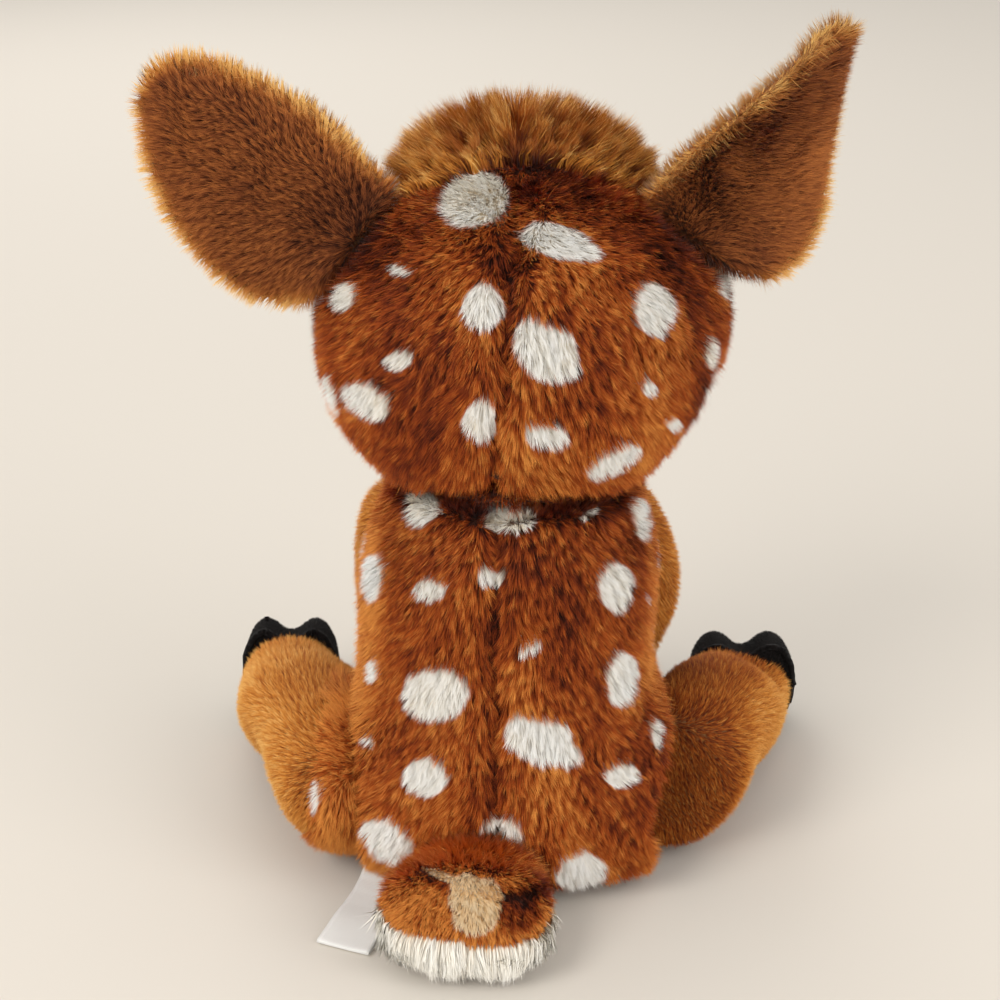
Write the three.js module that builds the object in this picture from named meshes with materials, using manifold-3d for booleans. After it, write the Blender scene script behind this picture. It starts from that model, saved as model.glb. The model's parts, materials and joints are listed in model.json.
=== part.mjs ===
// Plush spotted fawn that sits on its haunches: sewn panels round stuffing, with a turning head,
// folding ears, swinging legs and a tail that lifts.
// Millimetres, +Z up. The face looks along -Y, and the toy's left side is at +X.
import * as THREE from "three";
import { mergeVertices } from "three/addons/utils/BufferGeometryUtils.js";
import Module from "manifold-3d";

const wasm = await Module();
wasm.setup();

// Clearances and fabric thicknesses
const GAP = 0.3; // between sewn pieces that touch
const PLAY = 1.2; // between forms that turn against each other
const LONG_PLUSH = 6.5; // backing and pile of the spotted plush
const SHORT_PLUSH = 4.5; // backing and pile of the plain plush on the limbs
const FRAME_SHIFT = [1.32, -6.65, 0]; // puts the origin under the middle of the whole toy
const ROUND_CAP = 7; // a cap longer than this shrinks for an inner form, and a flatter one moves inwards
const INNER_DETAIL = 0.5; // share of a form's steps that its hidden inner surfaces keep

// Forms. A row is the middle of a section, then its half-width and half-depth, then its twist.
const TORSO = {
  rows: [
    [-4, 8, 3.5, 47, 45],
    [-4, 8, 12, 49.5, 49.5],
    [-4, 8, 26, 50, 50],
    [-4, 8, 42, 50, 47.5],
    [-4, 8, 62, 49.5, 46],
    [-4, 8, 85, 49.5, 44.5],
    [-3.5, 8, 101, 48.5, 44],
    [-4, 8, 112, 45.8, 44.5],
    [-4, 8, 124, 45, 44],
    [-4, 8, 150, 40, 40],
  ],
  along: [0, 0, 1],
  facing: [0, 1, 0],
  caps: [4, 5],
  fullness: 2.25,
  sides: 20,
  rings: 9,
};
const HEAD = {
  rows: [
    [-5, 7, 124, 28, 24],
    [-5.5, 6, 131, 38.5, 32],
    [-6.3, 4, 141, 51.5, 41.5],
    [-6.5, 2, 155, 61, 49],
    [-7.2, 0, 172, 64.5, 52],
    [-7.5, -2, 190, 62.5, 51],
    [-7.5, -4, 208, 52, 45],
    [-7.5, -5, 221, 37, 33],
    [-7.5, -5, 229, 20, 18],
  ],
  along: [0, 0, 1],
  facing: [0, 1, 0],
  caps: [4, 3.5],
  sides: 20,
  rings: 9,
};
const MUZZLE = {
  rows: [
    [-7, -26, 160, 29, 24],
    [-7, -44, 157, 26.5, 21.5],
    [-7, -56, 155, 22.5, 18.5],
    [-7, -62, 154, 19.5, 16.5],
  ],
  facing: [0, 0, 1],
  caps: [8, 11],
  sides: 14,
  rings: 4,
};
const TUFT = { middle: [-6.5, -14, 216], reach: [44, 30, 29.5] };
const TAIL = {
  rows: [
    [8, 58, 18, 22, 11],
    [9, 66, 18.5, 28, 14],
    [11, 75, 15.5, 30, 14],
    [11.5, 83, 12, 27, 12],
  ],
  along: [0.1, 1, -0.15],
  facing: [0, 0, 1],
  caps: [11, 9],
  sides: 14,
  rings: 5,
};
const ARMS = {
  left: [
    [32, -18, 104, 15, 15],
    [36, -25, 84, 14, 14],
    [35, -31, 62, 13, 13],
    [32, -41, 40, 12.5, 12.5],
    [28.5, -52, 10, 12, 12.5],
  ],
  right: [
    [-38, -18, 104, 15, 15],
    [-46, -24, 86, 14.5, 14],
    [-48, -29, 68, 13.5, 13.5],
    [-43, -39, 45, 12.5, 12.5],
    [-36.5, -52, 10, 12, 12.5],
  ],
};
const LEGS = {
  left: [
    [53, 16, 27.5, 28, 28],
    [62, -6, 26, 26.5, 26.5],
    [68.5, -24, 24, 24, 24.5],
    [73.5, -42, 20.5, 20, 21],
    [77.5, -70, 18.5, 17.5, 19],
  ],
  right: [
    [-58, 19, 27.5, 28, 28],
    [-69, -4, 26, 26.5, 26.5],
    [-76, -22, 24, 23.5, 24.5],
    [-83, -40, 20.5, 20.5, 21],
    [-90.5, -68, 16.5, 18.5, 17],
  ],
};
const EARS = {
  // distance along the ear, sideways offset, half-width, half-thickness, share of the twist
  plan: [
    [0, -3.5, 25, 6, 0],
    [14, -7.4, 29, 6.5, 0.35],
    [32, -6.7, 29, 6.5, 0.7],
    [48, -5, 25.6, 6, 0.88],
    [60, -3, 20, 5.5, 1],
    [67.5, -1.2, 13, 4.5, 1],
  ],
  caps: [6, 7],
  cup: 4, // how far the edges curl forwards
  left: { base: [44, 7, 206.5], towards: [57, 0, 50], twist: 0 },
  right: { base: [-60, 7, 206], towards: [-39, 0, 64], twist: -61 },
};

// Where the pieces meet
const NECK = { pivot: [-4, 8, 105], radius: 46, play: 1.2, seat: 134, shoulder: 112 };
const FLANKS = { left: 46.6, right: -54.6 }; // inner side of each hind leg, against the torso
const CROWN_SEAM = { point: [0, 12, 230], slope: 0.11 };
const BACK_SEAM = { bottom: [2.4, 0, 140], lean: -0.078 }; // centre of the head's back, leaning
const BACK_SEAM_X = 1; // centre of the torso's back
const SIDE_SEAM_Y = -12; // back panels behind it, belly panel in front
const BASE_HEIGHT = 5; // oval panel that the toy sits on
const ANKLE_Y = { left: -58, right: -56 };
const WRIST_Z = 17;
const PELLET_BAG = { middle: [-4, 8, 14], reach: [22, 25, 16] };

// Face
const EYE = { across: 27, height: 181, radius: 7.5, dome: 4.5, sunk: 4, shank: 2, shankLength: 12 };
const WASHER = { radius: 6, hole: 2.4, thickness: 1.6 };
const NOSE = { middle: [-7, -71.5, 162.5], reach: [10, 5.5, 7] };
const MOUTH = { drop: 11, spread: 13, thread: 0.9 };

// Hooves
const HIND_HOOF = { left: { x: 76.5, half: 9.2, depth: 19.5 }, right: { x: -88.5, half: 10.2, depth: 17 } };
const HIND_TOE = { length: 12, apart: 8.6, cap: 9 };
const FRONT_TOE = { half: 7.2, depth: 8.6, apart: 6.4, back: -47, front: -59, cap: 7 };

// Label: a folded ribbon sewn in at the base
const LABEL = { root: [35, 39.5], towards: [0.36, 0.93], length: 37, width: 17.5, thickness: 1.2 };

const FINISHES = {
  spottedPlush: { color: 0x8c4a22, roughness: 0.95 },
  goldenPlush: { color: 0xb07a3c, roughness: 0.95 },
  creamPlush: { color: 0xeadfc9, roughness: 0.95 },
  tuftPlush: { color: 0x7d5a2c, roughness: 0.95 },
  blackVelour: { color: 0x14110f, roughness: 0.9 },
  fibre: { color: 0xf2f1ec, roughness: 1 },
  cotton: { color: 0xd9d2c4, roughness: 0.95 },
  satin: { color: 0xf0efec, roughness: 0.45 },
  thread: { color: 0x2a1c14, roughness: 0.8 },
  eyePlastic: { color: 0x1d120b, roughness: 0.08 },
  washerPlastic: { color: 0xe6e4de, roughness: 0.5 },
};

const vector = (values) => new THREE.Vector3(...values);

// A closed geometry as a solid that can be cut and joined.
function solid(geometry) {
  const bare = geometry.clone();
  bare.deleteAttribute("normal");
  bare.deleteAttribute("uv");
  const merged = mergeVertices(bare, 1e-4);
  const mesh = new wasm.Mesh({
    numProp: 3,
    vertProperties: merged.attributes.position.array,
    triVerts: new Uint32Array(merged.index.array),
  });
  return new wasm.Manifold(mesh);
}

function geometryOf(shape) {
  const mesh = shape.getMesh();
  const geometry = new THREE.BufferGeometry();
  geometry.setAttribute("position", new THREE.BufferAttribute(mesh.vertProperties, 3));
  geometry.setIndex(new THREE.BufferAttribute(mesh.triVerts, 1));
  geometry.computeVertexNormals();
  return geometry;
}

// Everything past a plane, on the side that the direction points to.
function beyond(point, direction) {
  const size = 700;
  const turn = new THREE.Quaternion().setFromUnitVectors(vector([0, 0, 1]), vector(direction).normalize());
  const box = new THREE.BoxGeometry(size, size, size).translate(0, 0, size / 2);
  return solid(box.applyQuaternion(turn).translate(...point));
}

// An ellipsoid. Its first reach lies along the direction given.
function ellipsoid(middle, reach, along = [1, 0, 0], steps = 18) {
  const turn = new THREE.Quaternion().setFromUnitVectors(vector([1, 0, 0]), vector(along).normalize());
  const ball = new THREE.SphereGeometry(1, steps, Math.round(steps * 0.65)).scale(...reach);
  return solid(ball.applyQuaternion(turn).translate(...middle));
}

const ball = (middle, radius, steps = 18) => ellipsoid(middle, [radius, radius, radius], [1, 0, 0], steps);

// One closed form that swells and tapers through its rows, with a round cap on each end.
// face 1 or -1 keeps only the half of a flat form on that side of its middle surface.
function swell(form, grow = 0, face = 0) {
  const { rows, facing, caps, cup = 0, fullness = 2 } = form;
  const detail = grow < -1 ? INNER_DETAIL : 1;
  const [sides, rings] = [Math.round(form.sides * detail), Math.round(form.rings * detail)];
  const middles = rows.map((row) => vector(row.slice(0, 3)));
  const [first, last] = [middles[0], middles.at(-1)];
  const isRound = caps.map((cap) => cap > ROUND_CAP);
  if (!isRound[0]) first.addScaledVector(middles[1].clone().sub(first).normalize(), -grow);
  if (!isRound[1]) last.addScaledVector(last.clone().sub(middles.at(-2)).normalize(), grow);
  const places = new THREE.CatmullRomCurve3(middles, false, "catmullrom");
  const sizes = new THREE.CatmullRomCurve3(
    rows.map(([, , , wide, deep, twist = 0]) => vector([wide, deep, twist])),
    false,
    "catmullrom",
  );
  const capRings = 3;
  const stations = [];
  for (let i = capRings; i > 0; i--) stations.push({ t: 0, angle: -(i / capRings) * (Math.PI / 2) });
  for (let i = 0; i <= rings; i++) stations.push({ t: i / rings, angle: 0 });
  for (let i = 1; i <= capRings; i++) stations.push({ t: 1, angle: (i / capRings) * (Math.PI / 2) });

  const points = [];
  stations.forEach(({ t, angle }, index) => {
    const tangent = form.along ? vector(form.along).normalize() : places.getTangent(t);
    const { x: wide, y: deep, z: twist } = sizes.getPoint(t);
    const shrink = Math.cos(angle);
    const end = angle < 0 ? 0 : 1;
    const cap = caps[end] + (isRound[end] ? grow : 0);
    const middle = places.getPoint(t).addScaledVector(tangent, cap * Math.sin(angle));
    const side = vector(facing).cross(tangent).normalize();
    const out = tangent.clone().cross(side);
    side.applyAxisAngle(tangent, THREE.MathUtils.degToRad(twist));
    out.applyAxisAngle(tangent, THREE.MathUtils.degToRad(twist));
    const squareness = 2 / fullness;
    const isPole = index === 0 || index === stations.length - 1;
    for (let j = 0; j < (isPole ? 1 : sides); j++) {
      const turn = (2 * Math.PI * j) / sides;
      const [cosine, sine] = [Math.cos(turn), Math.sin(turn)];
      const [reach, rise] = isPole ? [0, 0] : [(wide + grow) * shrink, (deep + grow) * shrink];
      const across = reach * Math.sign(cosine) * Math.abs(cosine) ** squareness;
      let depth = rise * Math.sign(sine) * Math.abs(sine) ** squareness;
      if (face) depth = face * (GAP / 2 + Math.max(face * depth, 0));
      depth -= cup * t * (across / wide) ** 2;
      points.push(middle.clone().addScaledVector(side, across).addScaledVector(out, depth));
    }
  });

  const index = [];
  const pole = points.length - 1;
  const ringStart = (ring) => 1 + ring * sides;
  const ringCount = stations.length - 2;
  for (let j = 0; j < sides; j++) {
    const next = (j + 1) % sides;
    index.push(0, ringStart(0) + next, ringStart(0) + j);
    for (let i = 0; i < ringCount - 1; i++) {
      const [a, b] = [ringStart(i) + j, ringStart(i) + next];
      const [c, d] = [ringStart(i + 1) + j, ringStart(i + 1) + next];
      // The two halves of a flat form split along the same diagonals.
      index.push(...(face < 0 ? [a, b, d, a, d, c] : [a, b, c, b, d, c]));
    }
    index.push(pole, ringStart(ringCount - 1) + j, ringStart(ringCount - 1) + next);
  }
  const geometry = new THREE.BufferGeometry().setFromPoints(points);
  geometry.setIndex(index);
  return solid(geometry);
}

// A turned piece: its profile is given as radius and distance along the direction.
function turned(profile, point, direction, steps = 12) {
  const turn = new THREE.Quaternion().setFromUnitVectors(vector([0, 1, 0]), vector(direction).normalize());
  const points = profile.map(([radius, along]) => new THREE.Vector2(radius, along));
  const lathe = new THREE.LatheGeometry(points, steps);
  return solid(lathe.applyQuaternion(turn).translate(...point));
}

const deer = new THREE.Group();
deer.position.set(...FRAME_SHIFT);

// A group whose own origin is the point that its pieces turn about.
function body(parent, pivot) {
  const group = new THREE.Group();
  group.userData.pivot = vector(pivot);
  group.position.copy(group.userData.pivot).sub(parent.userData.pivot ?? vector([0, 0, 0]));
  parent.add(group);
  return group;
}

// Cuts can leave a loose sliver beside a panel, so a piece is the largest body of its shape.
function largest(shape) {
  return shape.decompose().reduce((most, part) => (part.volume() > most.volume() ? part : most));
}

function piece(group, name, shape, finish) {
  const material = new THREE.MeshStandardMaterial({ metalness: 0, ...FINISHES[finish] });
  const mesh = new THREE.Mesh(geometryOf(largest(shape)), material);
  mesh.geometry.translate(...group.userData.pivot.clone().negate().toArray());
  mesh.name = name;
  group.add(mesh);
}

const aboveFloor = beyond([0, 0, 0], [0, 0, 1]);
const sideNames = ["left", "right"];
const facing = (side) => (side === "left" ? 1 : -1); // way along X that a side looks

// Limb forms, each with a round root that sits in a socket of the torso
const armForm = (side) => ({ rows: ARMS[side], facing: [0, 1, 0], caps: [15, 6], sides: 12, rings: 6 });
const legForm = (side) => ({ rows: LEGS[side], facing: [0, 0, 1], caps: [27, 5], sides: 14, rings: 6 });
const rootOf = (rows, play, steps = 14) => ball(rows[0].slice(0, 3), rows[0][3] + play, steps);

// Ears
function earForm(side) {
  const { base, towards, twist } = EARS[side];
  const along = vector(towards).normalize();
  const across = along.clone().cross(vector([0, facing(side), 0]));
  const rows = EARS.plan.map(([distance, offset, wide, deep, share]) => {
    const middle = vector(base).addScaledVector(along, distance).addScaledVector(across, offset);
    return [...middle.toArray(), wide, deep, facing(side) * twist * share];
  });
  const shape = { facing: [0, 1, 0], along: along.toArray(), caps: EARS.caps, cup: EARS.cup };
  return { rows, ...shape, sides: 14, rings: 7, across };
}
const earRoot = (side, play) => {
  const { rows, across } = earForm(side);
  const [x, y, z, wide, deep] = rows[0];
  return ellipsoid([x, y, z], [wide + play, deep + play, deep + play], across.toArray(), 16);
};
const earRoots = earRoot("left", PLAY + 0.3).add(earRoot("right", PLAY + 0.3));

// Torso: back panels, belly and base round the stuffing and a bag of pellets
const neckBall = (grow) => ball(NECK.pivot, NECK.radius + grow, 24);
const shoulders = (grow) => beyond([0, 0, NECK.shoulder], [0, 0, -1]).add(neckBall(grow));
const belowNeck = beyond([0, 0, NECK.seat - GAP], [0, 0, -1]);
const torsoForm = (grow) =>
  swell(TORSO, grow).intersect(shoulders(grow)).intersect(belowNeck).intersect(aboveFloor);
function tailRoot(play, steps = 14) {
  const [x, y, z, wide, deep] = TAIL.rows[0];
  return ellipsoid([x, y, z], [wide + play, deep + play, deep + play], [1, 0, 0], steps);
}
function sockets(play, steps) {
  return sideNames
    .flatMap((side) => [rootOf(ARMS[side], play, steps), rootOf(LEGS[side], play, steps)])
    .reduce((all, socket) => all.add(socket), tailRoot(play, steps));
}
const torsoSolid = torsoForm(0).subtract(sockets(PLAY + 0.3, 16));
const coreSockets = sockets(PLAY + 4, 10);
const torsoCore = torsoForm(-LONG_PLUSH - GAP);
const torsoShell = torsoSolid
  .subtract(torsoForm(GAP - LONG_PLUSH))
  .subtract(beyond([0, 0, BASE_HEIGHT + GAP], [0, 0, -1]));
const torsoBack = torsoShell.intersect(beyond([0, SIDE_SEAM_Y + GAP / 2, 0], [0, 1, 0]));
const pelletBag = ellipsoid(PELLET_BAG.middle, PELLET_BAG.reach, [1, 0, 0], 14);
const aboveBase = beyond([0, 0, BASE_HEIGHT + GAP], [0, 0, 1]);
const roomReach = PELLET_BAG.reach.map((reach) => reach + GAP);
const pelletRoom = ellipsoid(PELLET_BAG.middle, roomReach, [1, 0, 0], 14);

const torso = body(deer, [0, 0, 0]);
for (const side of sideNames) {
  const ownSide = beyond([BACK_SEAM_X + (facing(side) * GAP) / 2, 0, 0], [facing(side), 0, 0]);
  piece(torso, `back_${side}_panel`, torsoBack.intersect(ownSide), "spottedPlush");
}
const bellySide = beyond([0, SIDE_SEAM_Y - GAP / 2, 0], [0, -1, 0]);
piece(torso, "belly_panel", torsoShell.intersect(bellySide), "creamPlush");
piece(torso, "base_panel", torsoSolid.intersect(beyond([0, 0, BASE_HEIGHT], [0, 0, -1])), "goldenPlush");
piece(torso, "pellet_bag", pelletBag.intersect(torsoCore).intersect(aboveBase), "cotton");
const torsoFill = torsoCore.subtract(coreSockets).subtract(pelletRoom).intersect(aboveBase);
piece(torso, "torso_stuffing", torsoFill, "fibre");

function label() {
  const { root, towards, length, width, thickness } = LABEL;
  const run = new THREE.SplineCurve([
    new THREE.Vector2(0, 5),
    new THREE.Vector2(5, 2.6),
    new THREE.Vector2(11, 0.9),
    new THREE.Vector2(length, 0.6),
  ]).getPoints(12);
  const topSide = run.toReversed().map((point) => point.clone().setY(point.y + thickness));
  const outline = [...run, ...topSide];
  const strip = new THREE.ExtrudeGeometry(new THREE.Shape(outline), { depth: width, bevelEnabled: false });
  strip.translate(0, 0, -width / 2).rotateX(Math.PI / 2);
  strip.rotateZ(Math.atan2(towards[1], towards[0])).translate(root[0], root[1], 0);
  return solid(strip).subtract(torsoForm(GAP));
}
piece(torso, "sewn_label", label(), "satin");

// Neck: stuffing that carries on from the torso into the head
const neck = body(torso, NECK.pivot);
piece(neck, "neck_stuffing", neckBall(0).intersect(beyond([0, 0, NECK.seat], [0, 0, 1])), "fibre");

// Head: two back panels, two face panels and the muzzle round one stuffing
const head = body(neck, NECK.pivot);
const headShell = swell(HEAD)
  .subtract(swell(HEAD, GAP - LONG_PLUSH))
  .subtract(neckBall(NECK.play))
  .subtract(earRoots);
const crownSeam = (way) => {
  const { point, slope } = CROWN_SEAM;
  return beyond([point[0], point[1] + (way * GAP) / 2, point[2]], [0, way, -way * slope]);
};
const middleSeam = (way) => {
  const { bottom, lean } = BACK_SEAM;
  return beyond([bottom[0] + (way * GAP) / 2, bottom[1], bottom[2]], [way, 0, -way * lean]);
};
const muzzleCore = swell(MUZZLE, -SHORT_PLUSH - GAP);
const muzzleRoom = swell(MUZZLE, GAP - SHORT_PLUSH);

function eyeParts(side) {
  const { across, height, radius, dome, sunk, shank, shankLength } = EYE;
  const [middleX, middleY] = [-7.4, -1];
  const [halfWidth, halfDepth] = [63.5, 51.8]; // of the head at the height of the eyes
  const forward = halfDepth * Math.sqrt(1 - (across / halfWidth) ** 2);
  const surface = vector([middleX + facing(side) * across, middleY - forward, height]);
  const slope = [(facing(side) * across) / halfWidth ** 2, -forward / halfDepth ** 2, 0];
  const normal = vector(slope).normalize();
  const seat = surface.addScaledVector(normal, -sunk).toArray();
  const arc = [0, 1, 2, 3, 4].map((i) => (i / 4) * (Math.PI / 2));
  const domeProfile = arc.map((angle) => [radius * Math.cos(angle), 1 + (dome - 1) * Math.sin(angle)]);
  domeProfile[4][0] = 0;
  const profile = [[0, -shankLength], [shank, -shankLength], [shank, 0], [radius, 0], ...domeProfile];
  const { radius: outer, hole, thickness } = WASHER;
  const top = -LONG_PLUSH + sunk - GAP; // the washer presses on the backing from inside
  const base = top - thickness;
  const washer = [[hole, base], [outer, base], [outer, top], [hole, top]];
  const outside = dome + sunk + 2;
  const shankEnd = -shankLength - GAP;
  const room = [[0, shankEnd], [hole, shankEnd], [hole, -GAP], [radius + GAP, -GAP]];
  room.push([radius + GAP, outside], [0, outside]);
  const washerRoom = [[0, base - GAP], [outer + GAP, base - GAP], [outer + GAP, top + GAP], [0, top + GAP]];
  return {
    eye: turned(profile, seat, normal.toArray(), 16),
    washer: turned([...washer, washer[0]], seat, normal.toArray()),
    room: turned(room, seat, normal.toArray()).add(turned(washerRoom, seat, normal.toArray())),
  };
}
const eyes = { left: eyeParts("left"), right: eyeParts("right") };
const faceShell = headShell
  .intersect(crownSeam(-1))
  .subtract(muzzleRoom)
  .subtract(eyes.left.room)
  .subtract(eyes.right.room);
const headBack = headShell.intersect(crownSeam(1));
const noseSolid = ellipsoid(NOSE.middle, NOSE.reach, [1, 0, 0], 14);
const noseRoom = ellipsoid(NOSE.middle, NOSE.reach.map((reach) => reach + GAP), [1, 0, 0], 14);

// The stitched mouth: a line down from the nose that parts to both sides
function mouthThread(radius) {
  const { middle, reach } = NOSE;
  const [x, y, z] = middle;
  const { drop, spread } = MOUTH;
  const tube = (points) => {
    const path = new THREE.CatmullRomCurve3(points.map(vector));
    const section = new THREE.Shape().absarc(0, 0, radius, 0, 2 * Math.PI);
    return solid(new THREE.ExtrudeGeometry(section, { steps: 5, extrudePath: path, curveSegments: 3 }));
  };
  const fork = [x, y + 2.6, z - drop];
  const line = tube([[x, y + 0.6, z - reach[2] + 1], [x, y + 1.1, z - drop + 2], fork]);
  const smile = [-1, 1].map((way) =>
    tube([
      [x + way * spread, y + 10.2, z - drop - 0.5],
      [x + way * spread * 0.7, y + 6.2, z - drop - 2.6],
      [x + way * spread * 0.3, y + 3.2, z - drop - 1.9],
      fork,
    ]),
  );
  return line.add(smile[0]).add(smile[1]).add(ball(fork, radius, 8));
}
const mouth = mouthThread(MOUTH.thread).subtract(noseRoom);
const mouthRoom = mouthThread(MOUTH.thread + GAP);
const muzzleShell = swell(MUZZLE)
  .subtract(muzzleRoom)
  .subtract(swell(HEAD, GAP))
  .subtract(noseRoom)
  .subtract(mouthRoom);
const tuftSolid = ellipsoid(TUFT.middle, TUFT.reach).subtract(swell(HEAD, GAP)).subtract(earRoots);
const headCore = swell(HEAD, -LONG_PLUSH - GAP)
  .add(muzzleCore)
  .subtract(neckBall(NECK.play))
  .subtract(earRoots)
  .subtract(eyes.left.room)
  .subtract(eyes.right.room)
  .subtract(noseRoom)
  .subtract(mouthRoom);

for (const side of sideNames) {
  piece(head, `head_back_${side}_panel`, headBack.intersect(middleSeam(facing(side))), "spottedPlush");
  piece(head, `face_${side}_panel`, faceShell.intersect(middleSeam(facing(side))), "spottedPlush");
  piece(head, `eye_${side}`, eyes[side].eye, "eyePlastic");
  piece(head, `eye_washer_${side}`, eyes[side].washer, "washerPlastic");
}
piece(head, "muzzle_panel", muzzleShell, "creamPlush");
piece(head, "nose", noseSolid, "blackVelour");
piece(head, "mouth_stitch", mouth, "thread");
piece(head, "crown_tuft", tuftSolid, "tuftPlush");
piece(head, "head_stuffing", headCore, "fibre");

for (const side of sideNames) {
  const ear = body(head, EARS[side].base);
  const scalp = swell(HEAD, 2 * PLAY).add(tuftSolid).subtract(earRoot(side, PLAY / 2));
  piece(ear, `ear_back_${side}`, swell(earForm(side), 0, 1).subtract(scalp), "spottedPlush");
  piece(ear, `ear_lining_${side}`, swell(earForm(side), 0, -1).subtract(scalp), "creamPlush");
}

// Front legs, each hanging from its shoulder to a cloven hoof
function frontHoof(side) {
  const [x] = ARMS[side].at(-1);
  const { half, depth, apart, back, front, cap } = FRONT_TOE;
  const toe = (way) => {
    const middle = x + way * apart;
    const rows = [back, (back + front) / 2, front].map((y) => [middle, y, depth - 0.5, half, depth]);
    return swell({ rows, facing: [0, 0, 1], caps: [cap, cap], sides: 12, rings: 2 });
  };
  return toe(1).add(toe(-1)).intersect(aboveFloor).intersect(beyond([0, 0, WRIST_Z - GAP], [0, 0, -1]));
}
for (const side of sideNames) {
  const arm = body(torso, ARMS[side][0].slice(0, 3));
  const aboveWrist = beyond([0, 0, WRIST_Z], [0, 0, 1]);
  const chest = torsoForm(PLAY).subtract(rootOf(ARMS[side], PLAY / 2));
  const outer = swell(armForm(side)).subtract(chest).intersect(aboveWrist);
  const core = swell(armForm(side), -SHORT_PLUSH - GAP)
    .subtract(torsoForm(PLAY + SHORT_PLUSH))
    .intersect(aboveWrist);
  const room = swell(armForm(side), GAP - SHORT_PLUSH).subtract(torsoForm(PLAY + SHORT_PLUSH - GAP));
  piece(arm, `front_leg_${side}_sleeve`, outer.subtract(room), "goldenPlush");
  piece(arm, `front_leg_${side}_stuffing`, core, "fibre");
  piece(arm, `front_hoof_${side}`, frontHoof(side), "blackVelour");
}

// Hind legs, each lying forwards from its hip to a cloven hoof with its toes up
function hindHoof(side) {
  const { x, half, depth } = HIND_HOOF[side];
  const { length, apart, cap } = HIND_TOE;
  const [start, end] = [ANKLE_Y[side] + 4, ANKLE_Y[side] - length];
  const toe = (way) => {
    const rows = [start, (start + end) / 2, end].map((y, i) => [
      x + way * apart * (half / 9),
      y,
      depth - 0.5 + i * 0.4,
      half * (1 - 0.04 * i),
      depth,
    ]);
    return swell({ rows, facing: [0, 0, 1], caps: [cap, cap], sides: 12, rings: 2 });
  };
  const pastAnkle = beyond([0, ANKLE_Y[side] - GAP, 0], [0, -1, 0]);
  return toe(1).add(toe(-1)).intersect(aboveFloor).intersect(pastAnkle);
}
for (const side of sideNames) {
  const leg = body(torso, LEGS[side][0].slice(0, 3));
  const flank = beyond([FLANKS[side], 0, 0], [-facing(side), 0, 0]).subtract(rootOf(LEGS[side], PLAY / 2));
  const behindAnkle = beyond([0, ANKLE_Y[side], 0], [0, 1, 0]).intersect(aboveFloor);
  const outer = swell(legForm(side)).subtract(flank).intersect(behindAnkle);
  const insideWall = beyond([FLANKS[side] + facing(side) * SHORT_PLUSH, 0, 0], [facing(side), 0, 0]);
  const core = swell(legForm(side), -SHORT_PLUSH - GAP).intersect(insideWall).intersect(behindAnkle);
  const roomWall = beyond([FLANKS[side] + facing(side) * (SHORT_PLUSH - GAP), 0, 0], [facing(side), 0, 0]);
  const room = swell(legForm(side), GAP - SHORT_PLUSH).intersect(roomWall);
  piece(leg, `hind_leg_${side}_sleeve`, outer.subtract(room), "goldenPlush");
  piece(leg, `hind_leg_${side}_stuffing`, core, "fibre");
  piece(leg, `hind_hoof_${side}`, hindHoof(side), "blackVelour");
}

// Tail: a broad pad with a brown top and a long-haired underside
const tail = body(torso, TAIL.rows[0].slice(0, 3));
const tailRoom = swell(TAIL, GAP - LONG_PLUSH);
const rump = torsoForm(PLAY).subtract(tailRoot(PLAY / 2));
const tailHalf = (face) => swell(TAIL, 0, face).subtract(tailRoom).subtract(rump).intersect(aboveFloor);
piece(tail, "tail_top_panel", tailHalf(1), "spottedPlush");
piece(tail, "tail_underside_panel", tailHalf(-1), "creamPlush");
piece(tail, "tail_stuffing", swell(TAIL, -LONG_PLUSH - GAP), "fibre");

export default deer;
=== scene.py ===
# Plush fawn, seated with its back to the camera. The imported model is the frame: each sewn panel
# becomes a fabric skin with its own pile, and the small parts get their finished shapes.
import json
import math

import bmesh
import bpy
import numpy as np
from mathutils import Matrix, Vector
from mathutils.bvhtree import BVHTree
from mathutils.kdtree import KDTree

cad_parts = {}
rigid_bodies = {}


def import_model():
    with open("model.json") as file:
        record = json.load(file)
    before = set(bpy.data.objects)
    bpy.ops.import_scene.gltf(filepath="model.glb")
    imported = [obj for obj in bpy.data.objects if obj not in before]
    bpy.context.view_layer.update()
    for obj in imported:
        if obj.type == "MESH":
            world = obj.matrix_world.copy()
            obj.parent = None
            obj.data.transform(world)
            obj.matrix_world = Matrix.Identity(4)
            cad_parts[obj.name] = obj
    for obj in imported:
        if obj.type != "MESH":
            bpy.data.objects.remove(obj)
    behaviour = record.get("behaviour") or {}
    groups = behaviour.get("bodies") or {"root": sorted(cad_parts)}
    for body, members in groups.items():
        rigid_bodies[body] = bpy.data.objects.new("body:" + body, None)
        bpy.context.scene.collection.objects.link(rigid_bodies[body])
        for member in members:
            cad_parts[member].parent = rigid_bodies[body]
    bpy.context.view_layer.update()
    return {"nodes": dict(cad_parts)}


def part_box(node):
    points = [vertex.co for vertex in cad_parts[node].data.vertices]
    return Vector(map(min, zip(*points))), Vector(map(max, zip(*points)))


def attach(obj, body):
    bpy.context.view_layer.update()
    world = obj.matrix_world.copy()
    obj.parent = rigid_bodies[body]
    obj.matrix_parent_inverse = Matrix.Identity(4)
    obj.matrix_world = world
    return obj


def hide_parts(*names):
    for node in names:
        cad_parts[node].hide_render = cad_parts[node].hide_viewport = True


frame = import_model()
nodes = frame["nodes"]
mm = 0.001
frameShift = np.array([1.32, -6.65, 0.0])  # from the toy's own middle line to the frame's origin, mm
print("frame loaded:", len(nodes), "nodes")


def at(x, y, z):  # a place given in mm from the toy's own middle line
    return Vector((np.array([x, y, z]) + frameShift) * mm)


def ownPlaces(points):  # and back: x, y and z in mm from the toy's own middle line
    return (points / mm - frameShift).T


def smoothStep(low, high, value):
    share = np.clip((value - low) / (high - low), 0, 1)
    return share * share * (3 - 2 * share)


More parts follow.
